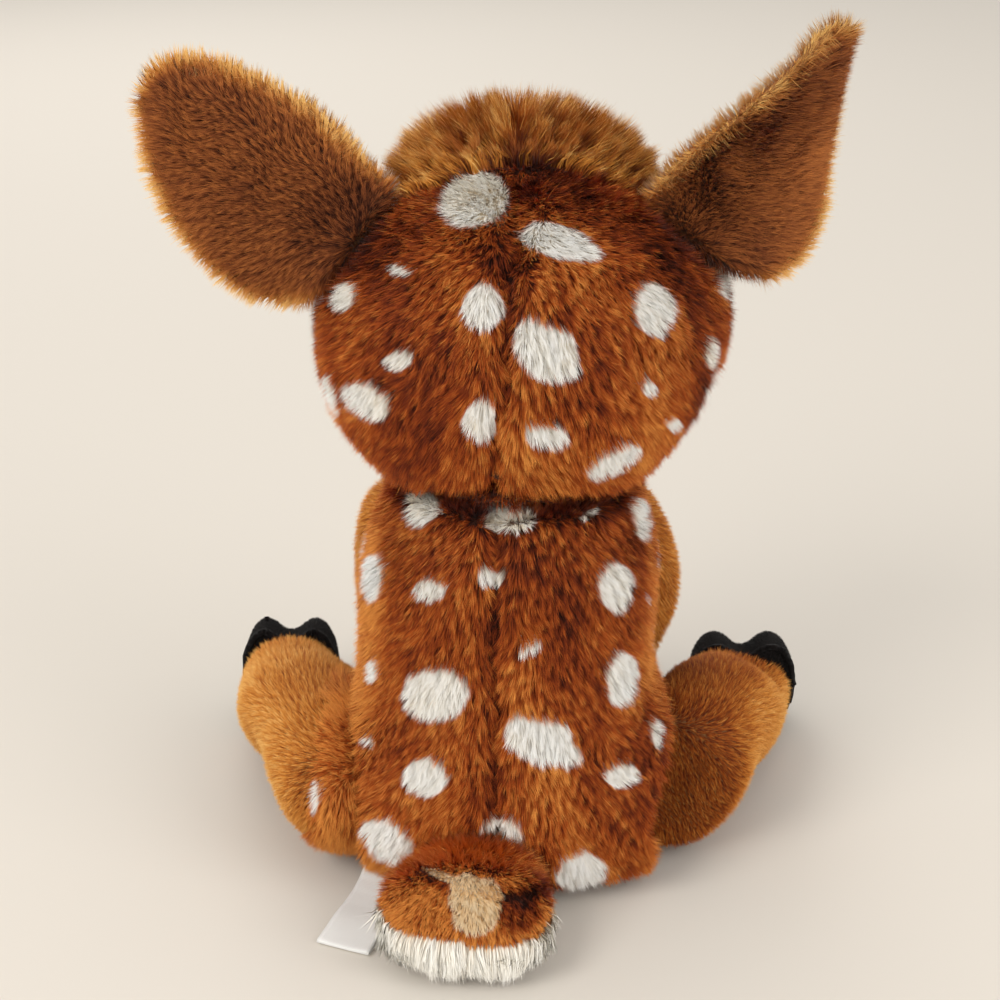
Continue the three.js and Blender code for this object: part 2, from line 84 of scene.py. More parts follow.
def unit(vectors):
    return vectors / np.maximum(np.linalg.norm(vectors, axis=-1, keepdims=True), 1e-12)


def srgb(red, green, blue):  # a colour read as 0 to 255, as a shader wants it
    values = np.array([red, green, blue]) / 255
    linear = np.where(values <= 0.04045, values / 12.92, ((values + 0.055) / 1.055) ** 2.4)
    return (*linear.tolist(), 1)


def select(piece):
    bpy.ops.object.select_all(action="DESELECT")
    piece.select_set(True)
    bpy.context.view_layer.objects.active = piece


def applyModifiers(piece):
    select(piece)
    for modifier in list(piece.modifiers):
        bpy.ops.object.modifier_apply(modifier=modifier.name)


def addPiece(name, mesh):
    piece = bpy.data.objects.new(name, mesh)
    bpy.context.scene.collection.objects.link(piece)
    return piece


def drop(piece):
    bpy.data.meshes.remove(piece.data)


def coordinates(mesh):
    values = np.empty(len(mesh.vertices) * 3, np.float32)
    mesh.vertices.foreach_get("co", values)
    return values.reshape(-1, 3).astype(float)


def pointNormals(mesh):
    values = np.empty(len(mesh.vertices) * 3, np.float32)
    mesh.vertex_normals.foreach_get("vector", values)
    return values.reshape(-1, 3).astype(float)


def placePoints(mesh, points):
    mesh.vertices.foreach_set("co", points.astype(np.float32).ravel())
    mesh.update()


def shadeSmooth(piece):
    piece.data.polygons.foreach_set("use_smooth", np.ones(len(piece.data.polygons), bool))


def subdivideOnce(piece):
    finer = piece.modifiers.new("subdivide", "SUBSURF")
    finer.levels = finer.render_levels = 1
    applyModifiers(piece)


def dressPiece(piece, material, body, slot, *replaced):
    piece.data.materials.clear()
    piece.data.materials.append(material)
    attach(piece, body)
    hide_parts(*replaced)


# Camera and light
camera = {
    "distance": 600 * mm,
    "elevation": 25,  # degrees above the floor, behind the toy
    "target": at(0, 0, 118),
    "focalPixels": 1900,  # for a picture 1000 pixels wide
    "picture": 1000,
    "sensor": 36,
}


def makeCamera():
    lift = math.radians(camera["elevation"])
    back = Vector((0, math.cos(lift), math.sin(lift)))
    lens = bpy.data.cameras.new("camera")
    lens.sensor_width = camera["sensor"]
    lens.lens = camera["sensor"] * camera["focalPixels"] / camera["picture"]
    rig = bpy.data.objects.new("camera", lens)
    bpy.context.scene.collection.objects.link(rig)
    rig.location = camera["target"] + back * camera["distance"]
    rig.rotation_euler = (-back).to_track_quat("-Z", "Y").to_euler()
    bpy.context.scene.camera = rig
    bpy.context.view_layer.update()
    turn = rig.matrix_world.to_3x3()
    camera["eye"] = rig.location.copy()
    camera["right"], camera["up"], camera["back"] = (turn.col[i].copy() for i in range(3))


def photoRow(points):  # how far down the photograph each point shows, in pixels
    off = points - np.array(camera["eye"])
    depth = -off @ np.array(camera["back"])
    return camera["picture"] / 2 - camera["focalPixels"] * (off @ np.array(camera["up"])) / depth


def photoRay(x, y):  # the way from the camera through a pixel of the photograph
    half = camera["picture"] / 2
    across, rise = (x - half) / camera["focalPixels"], (half - y) / camera["focalPixels"]
    return (camera["right"] * across + camera["up"] * rise - camera["back"]).normalized()


studio = {
    "floor": srgb(220, 213, 203),
    "floorSide": 12.0,  # metres
    "floorHeight": -0.2 * mm,
    "sky": 0.75,  # strength of the even light from all round
    "skyColour": (1, 0.985, 0.96, 1),
    "lamps": {  # place and size in metres, power in watts, and colour
        "key": ((0.9, 0.9, 1.1), 0.9, 11.8, (1, 0.97, 0.92)),
        "fill": ((-1.0, 0.7, 0.8), 1.0, 5.8, (1, 0.98, 0.96)),
        "front": ((0.4, -1.3, 0.9), 1.0, 4.5, (1, 0.98, 0.95)),
    },
}


def makeLight(name, place, size, power, colour):
    lamp = bpy.data.lights.new(name, "AREA")
    lamp.shape = "DISK"
    lamp.size = size
    lamp.energy = power
    lamp.color = colour
    holder = bpy.data.objects.new(name, lamp)
    bpy.context.scene.collection.objects.link(holder)
    holder.location = place
    holder.rotation_euler = (camera["target"] - Vector(place)).to_track_quat("-Z", "Y").to_euler()


def makeStudio():
    place = (0, 0, studio["floorHeight"])
    bpy.ops.mesh.primitive_plane_add(size=studio["floorSide"], location=place)
    floor = bpy.context.object
    floor.name = "floor"
    material = bpy.data.materials.new("pale floor")
    material.use_nodes = True
    shader = material.node_tree.nodes["Principled BSDF"]
    shader.inputs["Base Color"].default_value = studio["floor"]
    shader.inputs["Roughness"].default_value = 0.9
    floor.data.materials.append(material)
    world = bpy.data.worlds.new("studio")
    world.use_nodes = True
    sky = world.node_tree.nodes["Background"]
    sky.inputs["Color"].default_value = studio["skyColour"]
    sky.inputs["Strength"].default_value = studio["sky"]
    bpy.context.scene.world = world
    for name, lamp in studio["lamps"].items():
        makeLight(name, *lamp)
    bpy.context.scene.view_settings.view_transform = "Standard"


makeCamera()
makeStudio()
print("camera and studio made")


# Materials
def newMaterial(name):
    material = bpy.data.materials.new(name)
    material.use_nodes = True
    tree = material.node_tree
    return material, tree, tree.nodes["Principled BSDF"]


def addNode(tree, kind, values=None, links=None, **settings):
    node = tree.nodes.new(kind)
    for key, value in settings.items():
        setattr(node, key, value)
    for key, value in (values or {}).items():
        node.inputs[key].default_value = value
    for key, source in (links or {}).items():
        tree.links.new(source, node.inputs[key])
    return node


def attributeNode(tree, name):
    return addNode(tree, "ShaderNodeAttribute", attribute_name=name)


def calculate(tree, operation, *parts):  # each part is a number or another node's output
    node = addNode(tree, "ShaderNodeMath", operation=operation)
    for index, part in enumerate(parts):
        if isinstance(part, (int, float)):
            node.inputs[index].default_value = part
        else:
            tree.links.new(part, node.inputs[index])
    return node.outputs[0]


def blend(tree, values, links, **settings):  # inputs: 0 the share, 6 and 7 the two colours
    return addNode(tree, "ShaderNodeMix", values, links, data_type="RGBA", **settings).outputs[2]


def objectPlace(tree):
    return addNode(tree, "ShaderNodeTexCoord").outputs["Object"]


def cloud(tree, scale, detail):
    values = {"Scale": scale, "Detail": detail}
    return addNode(tree, "ShaderNodeTexNoise", values, {"Vector": objectPlace(tree)}).outputs["Fac"]


def colourRamp(tree, source, stops):
    node = addNode(tree, "ShaderNodeValToRGB", None, {"Fac": source})
    ends = node.color_ramp.elements
    ends[0].position, ends[0].color = stops[0][0], srgb(*stops[0][1])
    ends[1].position, ends[1].color = stops[-1][0], srgb(*stops[-1][1])
    for position, colour in stops[1:-1]:
        ends.new(position).color = srgb(*colour)
    return node.outputs["Color"]


def applyFinish(tree, shader, colour, values, relief=None):  # relief: its source, strength and depth
    tree.links.new(colour, shader.inputs["Base Color"])
    for key, value in values.items():
        shader.inputs[key].default_value = value
    if relief:
        height, strength, depth = relief
        bump = addNode(tree, "ShaderNodeBump", {"Strength": strength, "Distance": depth}, {"Height": height})
        tree.links.new(bump.outputs[0], shader.inputs["Normal"])


def toneGroup():  # how light each hair is: its root's lock and patch, and how near its tip a point is, darker towards the root as painted shade deep in the pile
    group = bpy.data.node_groups.new("hair tone", "ShaderNodeTree")
    face = group.interface
    for name in ("Lock size", "Patch size", "Lock share", "Patch share"):
        face.new_socket(name, in_out="INPUT", socket_type="NodeSocketFloat")
    face.new_socket("Tone", in_out="OUTPUT", socket_type="NodeSocketFloat")
    begin = addNode(group, "NodeGroupInput")
    end = addNode(group, "NodeGroupOutput")
    root = attributeNode(group, "rootPlace").outputs["Vector"]
    tip = attributeNode(group, "tipShare").outputs["Fac"]
    hair = attributeNode(group, "hairTone").outputs["Fac"]

    def noise(scale, share):
        tone = addNode(group, "ShaderNodeTexNoise", {"Detail": 2}, {"Vector": root, "Scale": scale})
        return calculate(group, "MULTIPLY", calculate(group, "SUBTRACT", tone.outputs["Fac"], 0.5), share)

    lock = noise(begin.outputs["Lock size"], begin.outputs["Lock share"])
    patch = noise(begin.outputs["Patch size"], begin.outputs["Patch share"])
    # painted shade: each hair is darker towards its root, deep in the pile
    total = calculate(group, "MULTIPLY", tip, 0.5)
    for part in (calculate(group, "MULTIPLY", hair, 0.34), lock, patch):
        total = calculate(group, "ADD", total, part)
    clamp = addNode(group, "ShaderNodeClamp", None, {"Value": total})
    group.links.new(clamp.outputs[0], end.inputs["Tone"])
    return group


hairTone = toneGroup()
plushFinish = {"Roughness": 0.72, "Specular IOR Level": 0.2, "Sheen Weight": 0.05, "Sheen Roughness": 0.4}


def pileMaterial(name, ramp, paleRamp=None, lockSize=420, patchSize=45, lockShare=0.7, patchShare=0.5):
    material, tree, shader = newMaterial(name)
    sizes = {"Lock size": lockSize, "Patch size": patchSize}
    shares = {"Lock share": lockShare, "Patch share": patchShare}
    tone = addNode(tree, "ShaderNodeGroup", {**sizes, **shares}, node_tree=hairTone).outputs[0]
    colour = colourRamp(tree, tone, ramp)
    if paleRamp:
        share = attributeNode(tree, "paleShare").outputs["Fac"]
        colour = blend(tree, None, {0: share, 6: colour, 7: colourRamp(tree, tone, paleRamp)})
    applyFinish(tree, shader, colour, plushFinish)
    return material


brownRamp = [(0.04, (40, 12, 4)), (0.32, (128, 47, 11)), (0.6, (190, 88, 24)), (0.95, (240, 160, 74))]
paleRamp = [(0, (246, 232, 208)), (0.3, (255, 251, 242)), (1, (255, 255, 253))]
goldRamp = [(0, (98, 36, 5)), (0.3, (170, 82, 18)), (0.6, (224, 146, 58)), (1, (252, 204, 122))]
creamRamp = [(0, (244, 228, 202)), (0.35, (255, 249, 236)), (1, (255, 254, 249))]
tuftRamp = [(0, (52, 24, 8)), (0.35, (160, 87, 26)), (0.65, (218, 146, 58)), (1, (250, 206, 122))]
tailRamp = [(0, (222, 168, 104)), (0.5, (248, 216, 164)), (1, (254, 236, 202))]
earRamp = [(0, (58, 24, 12)), (0.4, (142, 76, 38)), (1, (212, 130, 64))]
looks = {
    "spotted": pileMaterial("spotted pile", brownRamp, paleRamp, 620, lockShare=0.8, patchShare=1.35),
    "gold": pileMaterial("golden pile", goldRamp, lockSize=620, lockShare=0.5, patchShare=0.4),
    "cream": pileMaterial("cream pile", creamRamp, lockShare=0.4, patchShare=0.3),
    "tuft": pileMaterial("tuft pile", tuftRamp, lockSize=260, lockShare=0.9),
    "ear": pileMaterial("ear pile", earRamp, goldRamp, lockShare=0.5),
    "lining": pileMaterial("ear lining pile", creamRamp, goldRamp, lockShare=0.4),
    "tail": pileMaterial("tail pile", brownRamp, tailRamp, lockShare=0.8, patchShare=0.6),
}


def fabricMaterial(name, colour, pale=None):
    material, tree, shader = newMaterial(name)
    links = {"Vector": objectPlace(tree)}
    knit = addNode(tree, "ShaderNodeTexVoronoi", {"Scale": 900}, links).outputs["Distance"]
    shade = blend(tree, {0: 0.5, 6: srgb(*colour)}, {7: knit}, blend_type="MULTIPLY")
    if pale:
        share = attributeNode(tree, "paleShare").outputs["Fac"]
        shade = blend(tree, {7: srgb(*pale)}, {0: share, 6: shade})
    applyFinish(tree, shader, shade, {"Roughness": 0.9}, (knit, 0.4, 0.4 * mm))
    return material


fabrics = {
    "spotted": fabricMaterial("spotted backing", (78, 36, 18), (214, 196, 168)),
    "gold": fabricMaterial("golden backing", (150, 98, 48)),
    "cream": fabricMaterial("cream backing", (236, 222, 200)),
    "lining": fabricMaterial("lining backing", (206, 186, 156), (150, 98, 48)),
    "ear": fabricMaterial("ear backing", (70, 40, 24), (160, 106, 56)),
}
print("materials made")


# Soft forms: the CAD solids of one body, joined, rounded and drawn in by the depth of the pile
def joinedShape(names, grow=0.0):
    joined = bmesh.new()
    spare = bpy.data.meshes.new("spare")
    for name in names:
        shape = bmesh.new()
        shape.from_mesh(nodes[name].data)
        bmesh.ops.remove_doubles(shape, verts=shape.verts, dist=1e-6)
        shape.normal_update()
        for vert in shape.verts:
            vert.co += vert.normal * grow
        shape.to_mesh(spare)
        shape.free()
        joined.from_mesh(spare)
    bpy.data.meshes.remove(spare)
    return joined


def treeOf(names):
    shape = joinedShape(names)
    tree = BVHTree.FromBMesh(shape)
    shape.free()
    return tree


def distancesTo(names, points):
    if not names:
        return np.full(len(points), 1.0)
    tree = treeOf(names)
    return np.array([tree.find_nearest(Vector(point))[3] for point in points])


def distancesToPoints(targets, points):
    if not len(targets):
        return np.full(len(points), 1.0)
    tree = KDTree(len(targets))
    for index, target in enumerate(targets):
        tree.insert(target, index)
    tree.balance()
    return np.array([tree.find(point)[2] for point in points])


def keepLargestShell(mesh):
    shape = bmesh.new()
    shape.from_mesh(mesh)
    unseen = set(shape.verts)
    shells = []
    while unseen:
        stack = [unseen.pop()]
        shell = set(stack)
        while stack:
            for edge in stack.pop().link_edges:
                other = {vert for vert in edge.verts if vert in unseen}
                unseen -= other
                shell |= other
                stack += other
        shells.append(shell)
    most = max(shells, key=len)
    bmesh.ops.delete(shape, geom=[vert for vert in shape.verts if vert not in most], context="VERTS")
    shape.to_mesh(mesh)
    shape.free()


skinFit = {  # how a skin lies beside its neighbours and seams
    "least": 2.2 * mm,  # drawn in by this much beside a neighbour
    "near": 1.5 * mm,
    "far": 9 * mm,  # and by its whole depth from here on
    "grooveReach": 3 * mm,
    "tuck": 0.6 * mm,
    "tuckReach": 2.5 * mm,
    "held": 9 * mm,  # a seam holds the cloth back this far
    "frames": 20,  # how long the stuffing presses
    "overlap": 0.2 * mm,  # the solids are grown by this, so that they join
    "evenings": 6,  # how often the cut edge of a panel is evened out
}


def puffOut(form, seamDistance, pressure, most):  # the stuffing presses the panels out between seams
    group = form.vertex_groups.new(name="sewn")
    for index, held in enumerate(1 - smoothStep(0, skinFit["held"], seamDistance)):
        group.add([index], float(held), "REPLACE")
    before = coordinates(form.data)
    cloth = form.modifiers.new("cloth", "CLOTH")
    cloth.settings.use_pressure = True
    cloth.settings.uniform_pressure_force = pressure
    cloth.settings.effector_weights.gravity = 0
    cloth.settings.vertex_group_mass = "sewn"
    cloth.point_cache.frame_start = 1
    cloth.point_cache.frame_end = skinFit["frames"]
    for step in range(1, skinFit["frames"] + 1):
        bpy.context.scene.frame_set(step)
    move = coordinates(form.evaluated_get(bpy.context.evaluated_depsgraph_get()).data) - before
    form.modifiers.remove(cloth)
    bpy.context.scene.frame_set(1)
    move *= np.minimum(1, most / np.maximum(np.linalg.norm(move, axis=1, keepdims=True), 1e-9))
    placePoints(form.data, before + move)
    form.vertex_groups.clear()


def setAttribute(mesh, name, values, kind="FLOAT", domain="POINT"):
    attribute = mesh.attributes.get(name) or mesh.attributes.new(name, kind, domain)
    key = "vector" if kind == "FLOAT_VECTOR" else "value"
    attribute.data.foreach_set(key, np.ascontiguousarray(values).ravel())


def getAttribute(mesh, name, dtype=np.float32):
    values = np.empty(len(mesh.attributes[name].data), dtype)
    mesh.attributes[name].data.foreach_get("value", values)
    return values


def roundedCopy(name, names, plan):
    shape = joinedShape(names, skinFit["overlap"] + plan.get("closing", 0))
    mesh = bpy.data.meshes.new(name)
    shape.to_mesh(mesh)
    shape.free()
    piece = addPiece(name, mesh)
    remesh = piece.modifiers.new("remesh", "REMESH")
    remesh.mode = "VOXEL"
    remesh.voxel_size = plan["voxel"]
    applyModifiers(piece)
    keepLargestShell(piece.data)
    rough = BVHTree.FromPolygons(
        [vert.co for vert in piece.data.vertices], [face.vertices for face in piece.data.polygons]
    )
    smooth = piece.modifiers.new("smooth", "SMOOTH")
    smooth.factor = 0.5
    smooth.iterations = plan["smoothing"]
    applyModifiers(piece)
    hits = [rough.find_nearest(vert.co) for vert in piece.data.vertices]
    shrunk = np.mean([(vert.co - hit[0]).dot(hit[1]) for vert, hit in zip(piece.data.vertices, hits)])
    return piece, shrunk


def moveAlongNormals(mesh, amount):
    placePoints(mesh, coordinates(mesh) + pointNormals(mesh) * np.reshape(amount, (-1, 1)))


def pushOut(mesh, pushes):  # the stuffing is fuller in some places and slacker in others
    points = coordinates(mesh)
    for middle, move, reach in pushes:
        off = (points - np.array(at(*middle))) / (reach * mm)
        points += np.exp(-np.sum(off**2, axis=1))[:, None] * np.array(move) * mm
    placePoints(mesh, points)


def softForm(name, panels, inside, plan, hidden=(), snug=(), partings=(), split=None):
    # hidden: nodes that no hair grows under. snug: nodes that the skin stays close to.
    form, shrunk = roundedCopy(name, [*panels, *inside], plan)
    mesh = form.data
    points = coordinates(mesh)
    if split:
        owner = split(points)
    else:
        owner = np.argmin([distancesTo([panel], points) for panel in panels], axis=0)
    corners = np.array([list(edge.vertices) for edge in mesh.edges])
    pairs = np.sort(owner[corners], axis=1)
    middles = points[corners].mean(axis=1)
    sewn = pairs[:, 0] != pairs[:, 1]
    parted = np.isin(pairs[:, 0] * 10 + pairs[:, 1], [low * 10 + high for low, high in partings])
    seamDistance = distancesToPoints(middles[sewn], points)
    partingDistance = distancesToPoints(middles[parted], points)
    snugDistance = distancesTo(snug, points)
    gap = distancesTo(hidden, points)
    least = min(skinFit["least"], plan["depth"])
    free = smoothStep(skinFit["near"], skinFit["far"], snugDistance)
    depth = least + (plan["depth"] - least) * free
    depth += plan.get("groove", 0) * np.exp(-((partingDistance / skinFit["grooveReach"]) ** 2))
    depth += plan.get("tuck", skinFit["tuck"]) * np.exp(-((seamDistance / skinFit["tuckReach"]) ** 2))
    moveAlongNormals(mesh, -depth - shrunk)
    pushOut(mesh, plan.get("pushes", ()))
    if plan.get("puff"):
        puffOut(form, seamDistance, plan["pressure"], plan["puff"])
    faceOwner = np.array([np.bincount(owner[list(face.vertices)]).argmax() for face in mesh.polygons])
    setAttribute(mesh, "panel", faceOwner.astype(np.int32), "INT", "FACE")
    setAttribute(mesh, "seamDistance", seamDistance.astype(np.float32))
    setAttribute(mesh, "partingDistance", partingDistance.astype(np.float32))
    setAttribute(mesh, "gap", gap.astype(np.float32))
    if plan.get("subdivide"):
        subdivideOnce(form)
        mesh = form.data
    mesh.calc_loop_triangles()
    triangles = np.empty(len(mesh.loop_triangles) * 3, np.int32)
    mesh.loop_triangles.foreach_get("vertices", triangles)
    faces = np.empty(len(mesh.loop_triangles), np.int32)
    mesh.loop_triangles.foreach_get("polygon_index", faces)
    skin = {
        "object": form,
        "panels": panels,
        "points": coordinates(mesh),
        "normals": pointNormals(mesh),
        "triangles": triangles.reshape(-1, 3),
        "owner": getAttribute(mesh, "panel", np.int32)[faces],
        "seamDistance": getAttribute(mesh, "seamDistance"),
        "partingDistance": getAttribute(mesh, "partingDistance"),
        "gap": getAttribute(mesh, "gap"),
    }
    skin["tree"] = BVHTree.FromPolygons(skin["points"].tolist(), skin["triangles"].tolist())
    print("soft form:", name, len(skin["points"]), "points")
    return skin


def waveNoise(points, size, seed, gradient=False):  # smooth, seeded and quick on many points
    random = np.random.default_rng(seed)
    waves = unit(random.normal(size=(14, 3))) * random.uniform(0.6, 1.5, (14, 1)) * 2 * np.pi / size
    angle = points @ waves.T + random.uniform(0, 2 * np.pi, 14)
    scale = math.sqrt(2 / 14)
    if gradient:
        return (np.cos(angle) @ waves) * scale
    return np.sin(angle).sum(axis=1) * scale


# Spots: ellipses on the coat, placed where the photograph shows them
def ellipseSpot(middle, right, up, wide, high, tilt):
    turn = math.radians(tilt)
    return {
        "middle": np.array(middle),
        "across": np.array(right * math.cos(turn) + up * math.sin(turn)) / (wide / 2 * mm),
        "rise": np.array(up * math.cos(turn) - right * math.sin(turn)) / (high / 2 * mm),
        "away": np.array(right.cross(up)) / ((max(wide, high) * 0.9 + 3) * mm),
    }


def nearestToRay(tree, start, way):  # where a ray meets the form, or passes it most closely
    hit = tree.ray_cast(start, way)
    if hit[0] is not None:
        return hit
    reaches = np.linspace(0.45, 0.75, 60)
    return min((tree.find_nearest(start + way * reach) for reach in reaches), key=lambda near: near[3])


pileHeight = 3.3 * mm  # how far off the cloth the long pile shows its colour
spotEdge = (0.93, 1.06)  # from all pale to all brown, where 1 is the ellipse
spotGlow = (1.05, 1.45)


def spotFromPhoto(form, x, y, wide, high, tilt=0):  # pixels, then mm as the camera sees it
    way = photoRay(x, y)
    hit = nearestToRay(form["tree"], camera["eye"], way)
    middle = hit[0] - way * pileHeight / max(-way.dot(hit[1]), 0.35)
    return ellipseSpot(middle, camera["right"], camera["up"], wide, high, tilt)


def spotFromSide(form, azimuth, height, wide, high, tilt=0):  # azimuth 0 is the toy's left, 90 its back
    turn = math.radians(azimuth)
    out = Vector((math.cos(turn), math.sin(turn), 0))
    middle = Vector(form["points"].mean(axis=0))
    start = Vector((middle.x, middle.y, height * mm)) + out * 0.3
    hit = nearestToRay(form["tree"], start, -out)
    middle = hit[0] + out * pileHeight
    return ellipseSpot(middle, Vector((0, 0, 1)).cross(out), Vector((0, 0, 1)), wide, high, tilt)


def spotReach(points, spots):  # below 1 inside a spot
    least = np.full(len(points), 9.0)
    for spot in spots:
        off = points - spot["middle"]
        parts = [off @ spot[key] for key in ("across", "rise", "away")]
        least = np.minimum(least, np.sqrt(sum(part**2 for part in parts)))
    ragged = waveNoise(points, 3 * mm, 41) * 0.02 + waveNoise(points, 9 * mm, 42) * 0.045
    return least + ragged


def paleAt(points, spots):
    return 1 - smoothStep(*spotEdge, spotReach(points, spots))


def glowRound(points, spots):  # the brown is lighter close to a spot
    return 0.2 * (1 - smoothStep(*spotGlow, spotReach(points, spots)))


# Pile: flat tapered hairs that lean along the flow of the coat and gather in locks
hairs = {  # what every pile has alike; sizes in metres, angles in radians, the rest are shares
    "gap": 1.2 * mm,  # bare skin this close to a part that sits in it
    "rootDepth": 0.3 * mm,
    "wideWander": 16 * mm,  # size of the coat's slow turns, then of its quick ones
    "fineWander": 4.5 * mm,
    "fineTurn": 0.12,
    "ownTurn": 0.09,
    "ownLean": 0.1,
    "lockLean": 0.05,
    "lockLength": 0.05,
    "shortest": 0.25,
    "shortNear": 3.5 * mm,  # hairs are shorter up to here from a parting
    "darkNear": (0.6 * mm, 4.2 * mm),  # and painted darker between these, as shade in the parting
    "tone": 0.5,
    # painted shade and light: hairs are darker in the valleys between locks and lighter on their crests
    "lockShadeAndLight": 0.24,
    "ownTone": 0.3,
    "spotAlong": 0.75,  # a spot's edge is settled this far up the hairs
    "paleLit": 0.4,  # light passes through pale hairs, so they are lit more from above
    "paleSoft": 0.2,
    "edgeRound": 0.35,
    "floor": 0.15 * mm,  # nothing reaches below this height
}


def rootsOn(form, owners, density, seed, keep=None):
    random = np.random.default_rng(seed)
    triangles = form["triangles"][np.isin(form["owner"], owners)]
    corners = form["points"][triangles]
    sides = np.cross(corners[:, 1] - corners[:, 0], corners[:, 2] - corners[:, 0])
    total = np.cumsum(np.linalg.norm(sides, axis=1) / 2)
    count = int(total[-1] / mm**2 * density * hairShare)
    order = (np.arange(count) + random.random(count)) / count * total[-1]
    picked = np.minimum(np.searchsorted(total, order), len(total) - 1)
    first, second = random.random((2, count))
    fold = first + second > 1
    first[fold], second[fold] = 1 - first[fold], 1 - second[fold]
    share = np.stack([1 - first - second, first, second], axis=1)
    roots = {}
    for key in ("points", "normals", "seamDistance", "partingDistance", "gap"):
        held = form[key][triangles[picked]]
        roots[key] = (held * share.reshape(share.shape + (1,) * (held.ndim - 2))).sum(axis=1)
    roots["normals"] = unit(roots["normals"])
    wanted = roots["gap"] > hairs["gap"]
    if keep is not None:
        wanted &= keep(roots["points"], roots["normals"])
    return {key: values[wanted] for key, values in roots.items()}


def alongSkin(flow, normals):
    return unit(flow - normals * np.sum(flow * normals, axis=1, keepdims=True))


def mortonOrder(points):  # near places get near numbers, so that a map keeps near hairs together
    cell = ((points - points.min(axis=0)) / (np.ptp(points, axis=0).max() + 1e-9) * 1023).astype(np.int64)
    code = np.zeros(len(points), np.int64)
    for bit in range(10):
        for axis in range(3):
            code |= ((cell[:, axis] >> bit) & 1) << (3 * bit + axis)
    return np.argsort(np.argsort(code, kind="stable"), kind="stable")


def hairGrid(steps):  # the triangles of one hair, and where its points lie in its cell of the map
    faces = []
    for step in range(steps - 1):
        low = 2 * step
        faces += [[low, low + 1, low + 3], [low, low + 3, low + 2]]
    faces.append([2 * steps - 2, 2 * steps - 1, 2 * steps])
    rise = [(step + 0.1) / (steps + 0.2) for step in range(steps + 1)]
    cell = [[u, rise[step]] for step in range(steps) for u in (0.15, 0.85)] + [[0.5, rise[-1]]]
    return np.array(faces), np.array(cell)


def layHairs(roots, flow, plan, random):  # the points up each hair, and its way at each of them
    places, normals, seed = roots["points"], roots["normals"], plan["seed"]
    count, steps = len(places), plan.get("steps", 1)
    wander = waveNoise(places, hairs["wideWander"], seed + 1) * plan.get("wander", 0.2)
    fine = waveNoise(places, hairs["fineWander"], seed + 2) * hairs["fineTurn"]
    wander += fine + random.normal(size=count) * hairs["ownTurn"]
    flow = alongSkin(flow, normals)
    side = np.cross(flow, normals)
    flow = unit(flow * np.cos(wander)[:, None] + side * np.sin(wander)[:, None])
    stretch = np.array([1, 1, plan.get("run", 1)])  # locks run longer down the body
    lock = waveNoise(places * stretch, plan["lock"], seed + 3)
    pull = waveNoise(places * stretch, plan["lock"], seed + 3, gradient=True)
    pull = pull * plan["lock"] * stretch
    pull -= normals * np.sum(pull * normals, axis=1, keepdims=True)
    uneven = random.normal(size=count) * plan.get("uneven", 0.1)
    length = plan["length"] * (1 + hairs["lockLength"] * lock + uneven)
    length *= 0.4 + 0.6 * smoothStep(0, hairs["shortNear"], roots["partingDistance"])
    length *= roots.get("lengthShare", 1.0)
    length = np.maximum(length, plan["length"] * hairs["shortest"])
    lean = np.radians(plan["lean"]) + random.normal(size=count) * hairs["ownLean"] - lock * hairs["lockLean"]
    bend = np.radians(plan.get("bend", 0))
    spine = [places - normals * hairs["rootDepth"]]
    ways = []
    for step in range(steps):
        angle = lean + bend * step / max(steps - 1, 1)
        way = normals * np.cos(angle)[:, None] + flow * np.sin(angle)[:, None]
        way = unit(way + pull * plan["gather"] * (step + 1) / steps)
        ways.append(way)
        spine.append(spine[-1] + way * (length / steps)[:, None])
    return spine, ways, lock, stretch


def hairRibbons(spine, ways, normals, facingOut, softness, plan, random):
    # each hair's points, the normals that it is shaded with, and how near its tip each point is
    count, steps = len(normals), len(ways)
    roll = random.normal(size=count) * plan.get("roll", 0.6)
    width = plan["width"] * (0.8 + 0.4 * random.random(count))
    vertices = np.empty((count, 2 * steps + 1, 3), np.float32)
    shades = np.empty_like(vertices)
    tips = np.ones((count, 2 * steps + 1), np.float32)
    for step in range(steps + 1):
        way = ways[min(step, steps - 1)]
        across = unit(np.cross(way, normals) + 1e-9)
        edge = across * np.cos(roll)[:, None] + np.cross(across, way) * np.sin(roll)[:, None]
        facing = np.cross(edge, way)
        flip = np.sign(np.sum(facing * normals, axis=1, keepdims=True))
        facing, edge = facing * flip, edge * flip
        soft = unit(facingOut * softness + facing * (1 - softness))
        if step == steps:
            vertices[:, -1] = spine[step]
            shades[:, -1] = soft
            continue
        offset = edge * (width * (1 - step / steps) ** 0.6 / 2)[:, None]
        for index, sign in ((2 * step, -1), (2 * step + 1, 1)):
            vertices[:, index] = spine[step] + offset * sign
            shades[:, index] = unit(soft + edge * sign * hairs["edgeRound"])
            tips[:, index] = step / steps
    vertices[:, :, 2] = np.maximum(vertices[:, :, 2], hairs["floor"])
    return vertices, shades, tips


def hairMesh(name, vertices, faces):
    count, perHair = vertices.shape[:2]
    corners = (np.arange(count)[:, None, None] * perHair + faces[None]).reshape(-1)
    mesh = bpy.data.meshes.new(name)
    mesh.vertices.add(count * perHair)
    mesh.vertices.foreach_set("co", vertices.ravel())
    mesh.loops.add(len(corners))
    mesh.loops.foreach_set("vertex_index", corners.astype(np.int32))
    mesh.polygons.add(len(corners) // 3)
    mesh.polygons.foreach_set("loop_start", np.arange(0, len(corners), 3, dtype=np.int32))
    mesh.polygons.foreach_set("use_smooth", np.ones(len(corners) // 3, bool))
    mesh.update(calc_edges=True)
    return mesh, corners


def mapHairs(mesh, places, cell, corners):  # each hair has a cell of its own in the map
    cells = math.ceil(math.sqrt(len(places)))
    rank = mortonOrder(places)
    spot = np.stack([rank % cells, rank // cells], axis=1)[:, None, :] + cell[None]
    layer = mesh.uv_layers.new(name="OFBake")
    layer.uv.foreach_set("vector", (spot / cells).reshape(-1, 2)[corners].astype(np.float32).ravel())


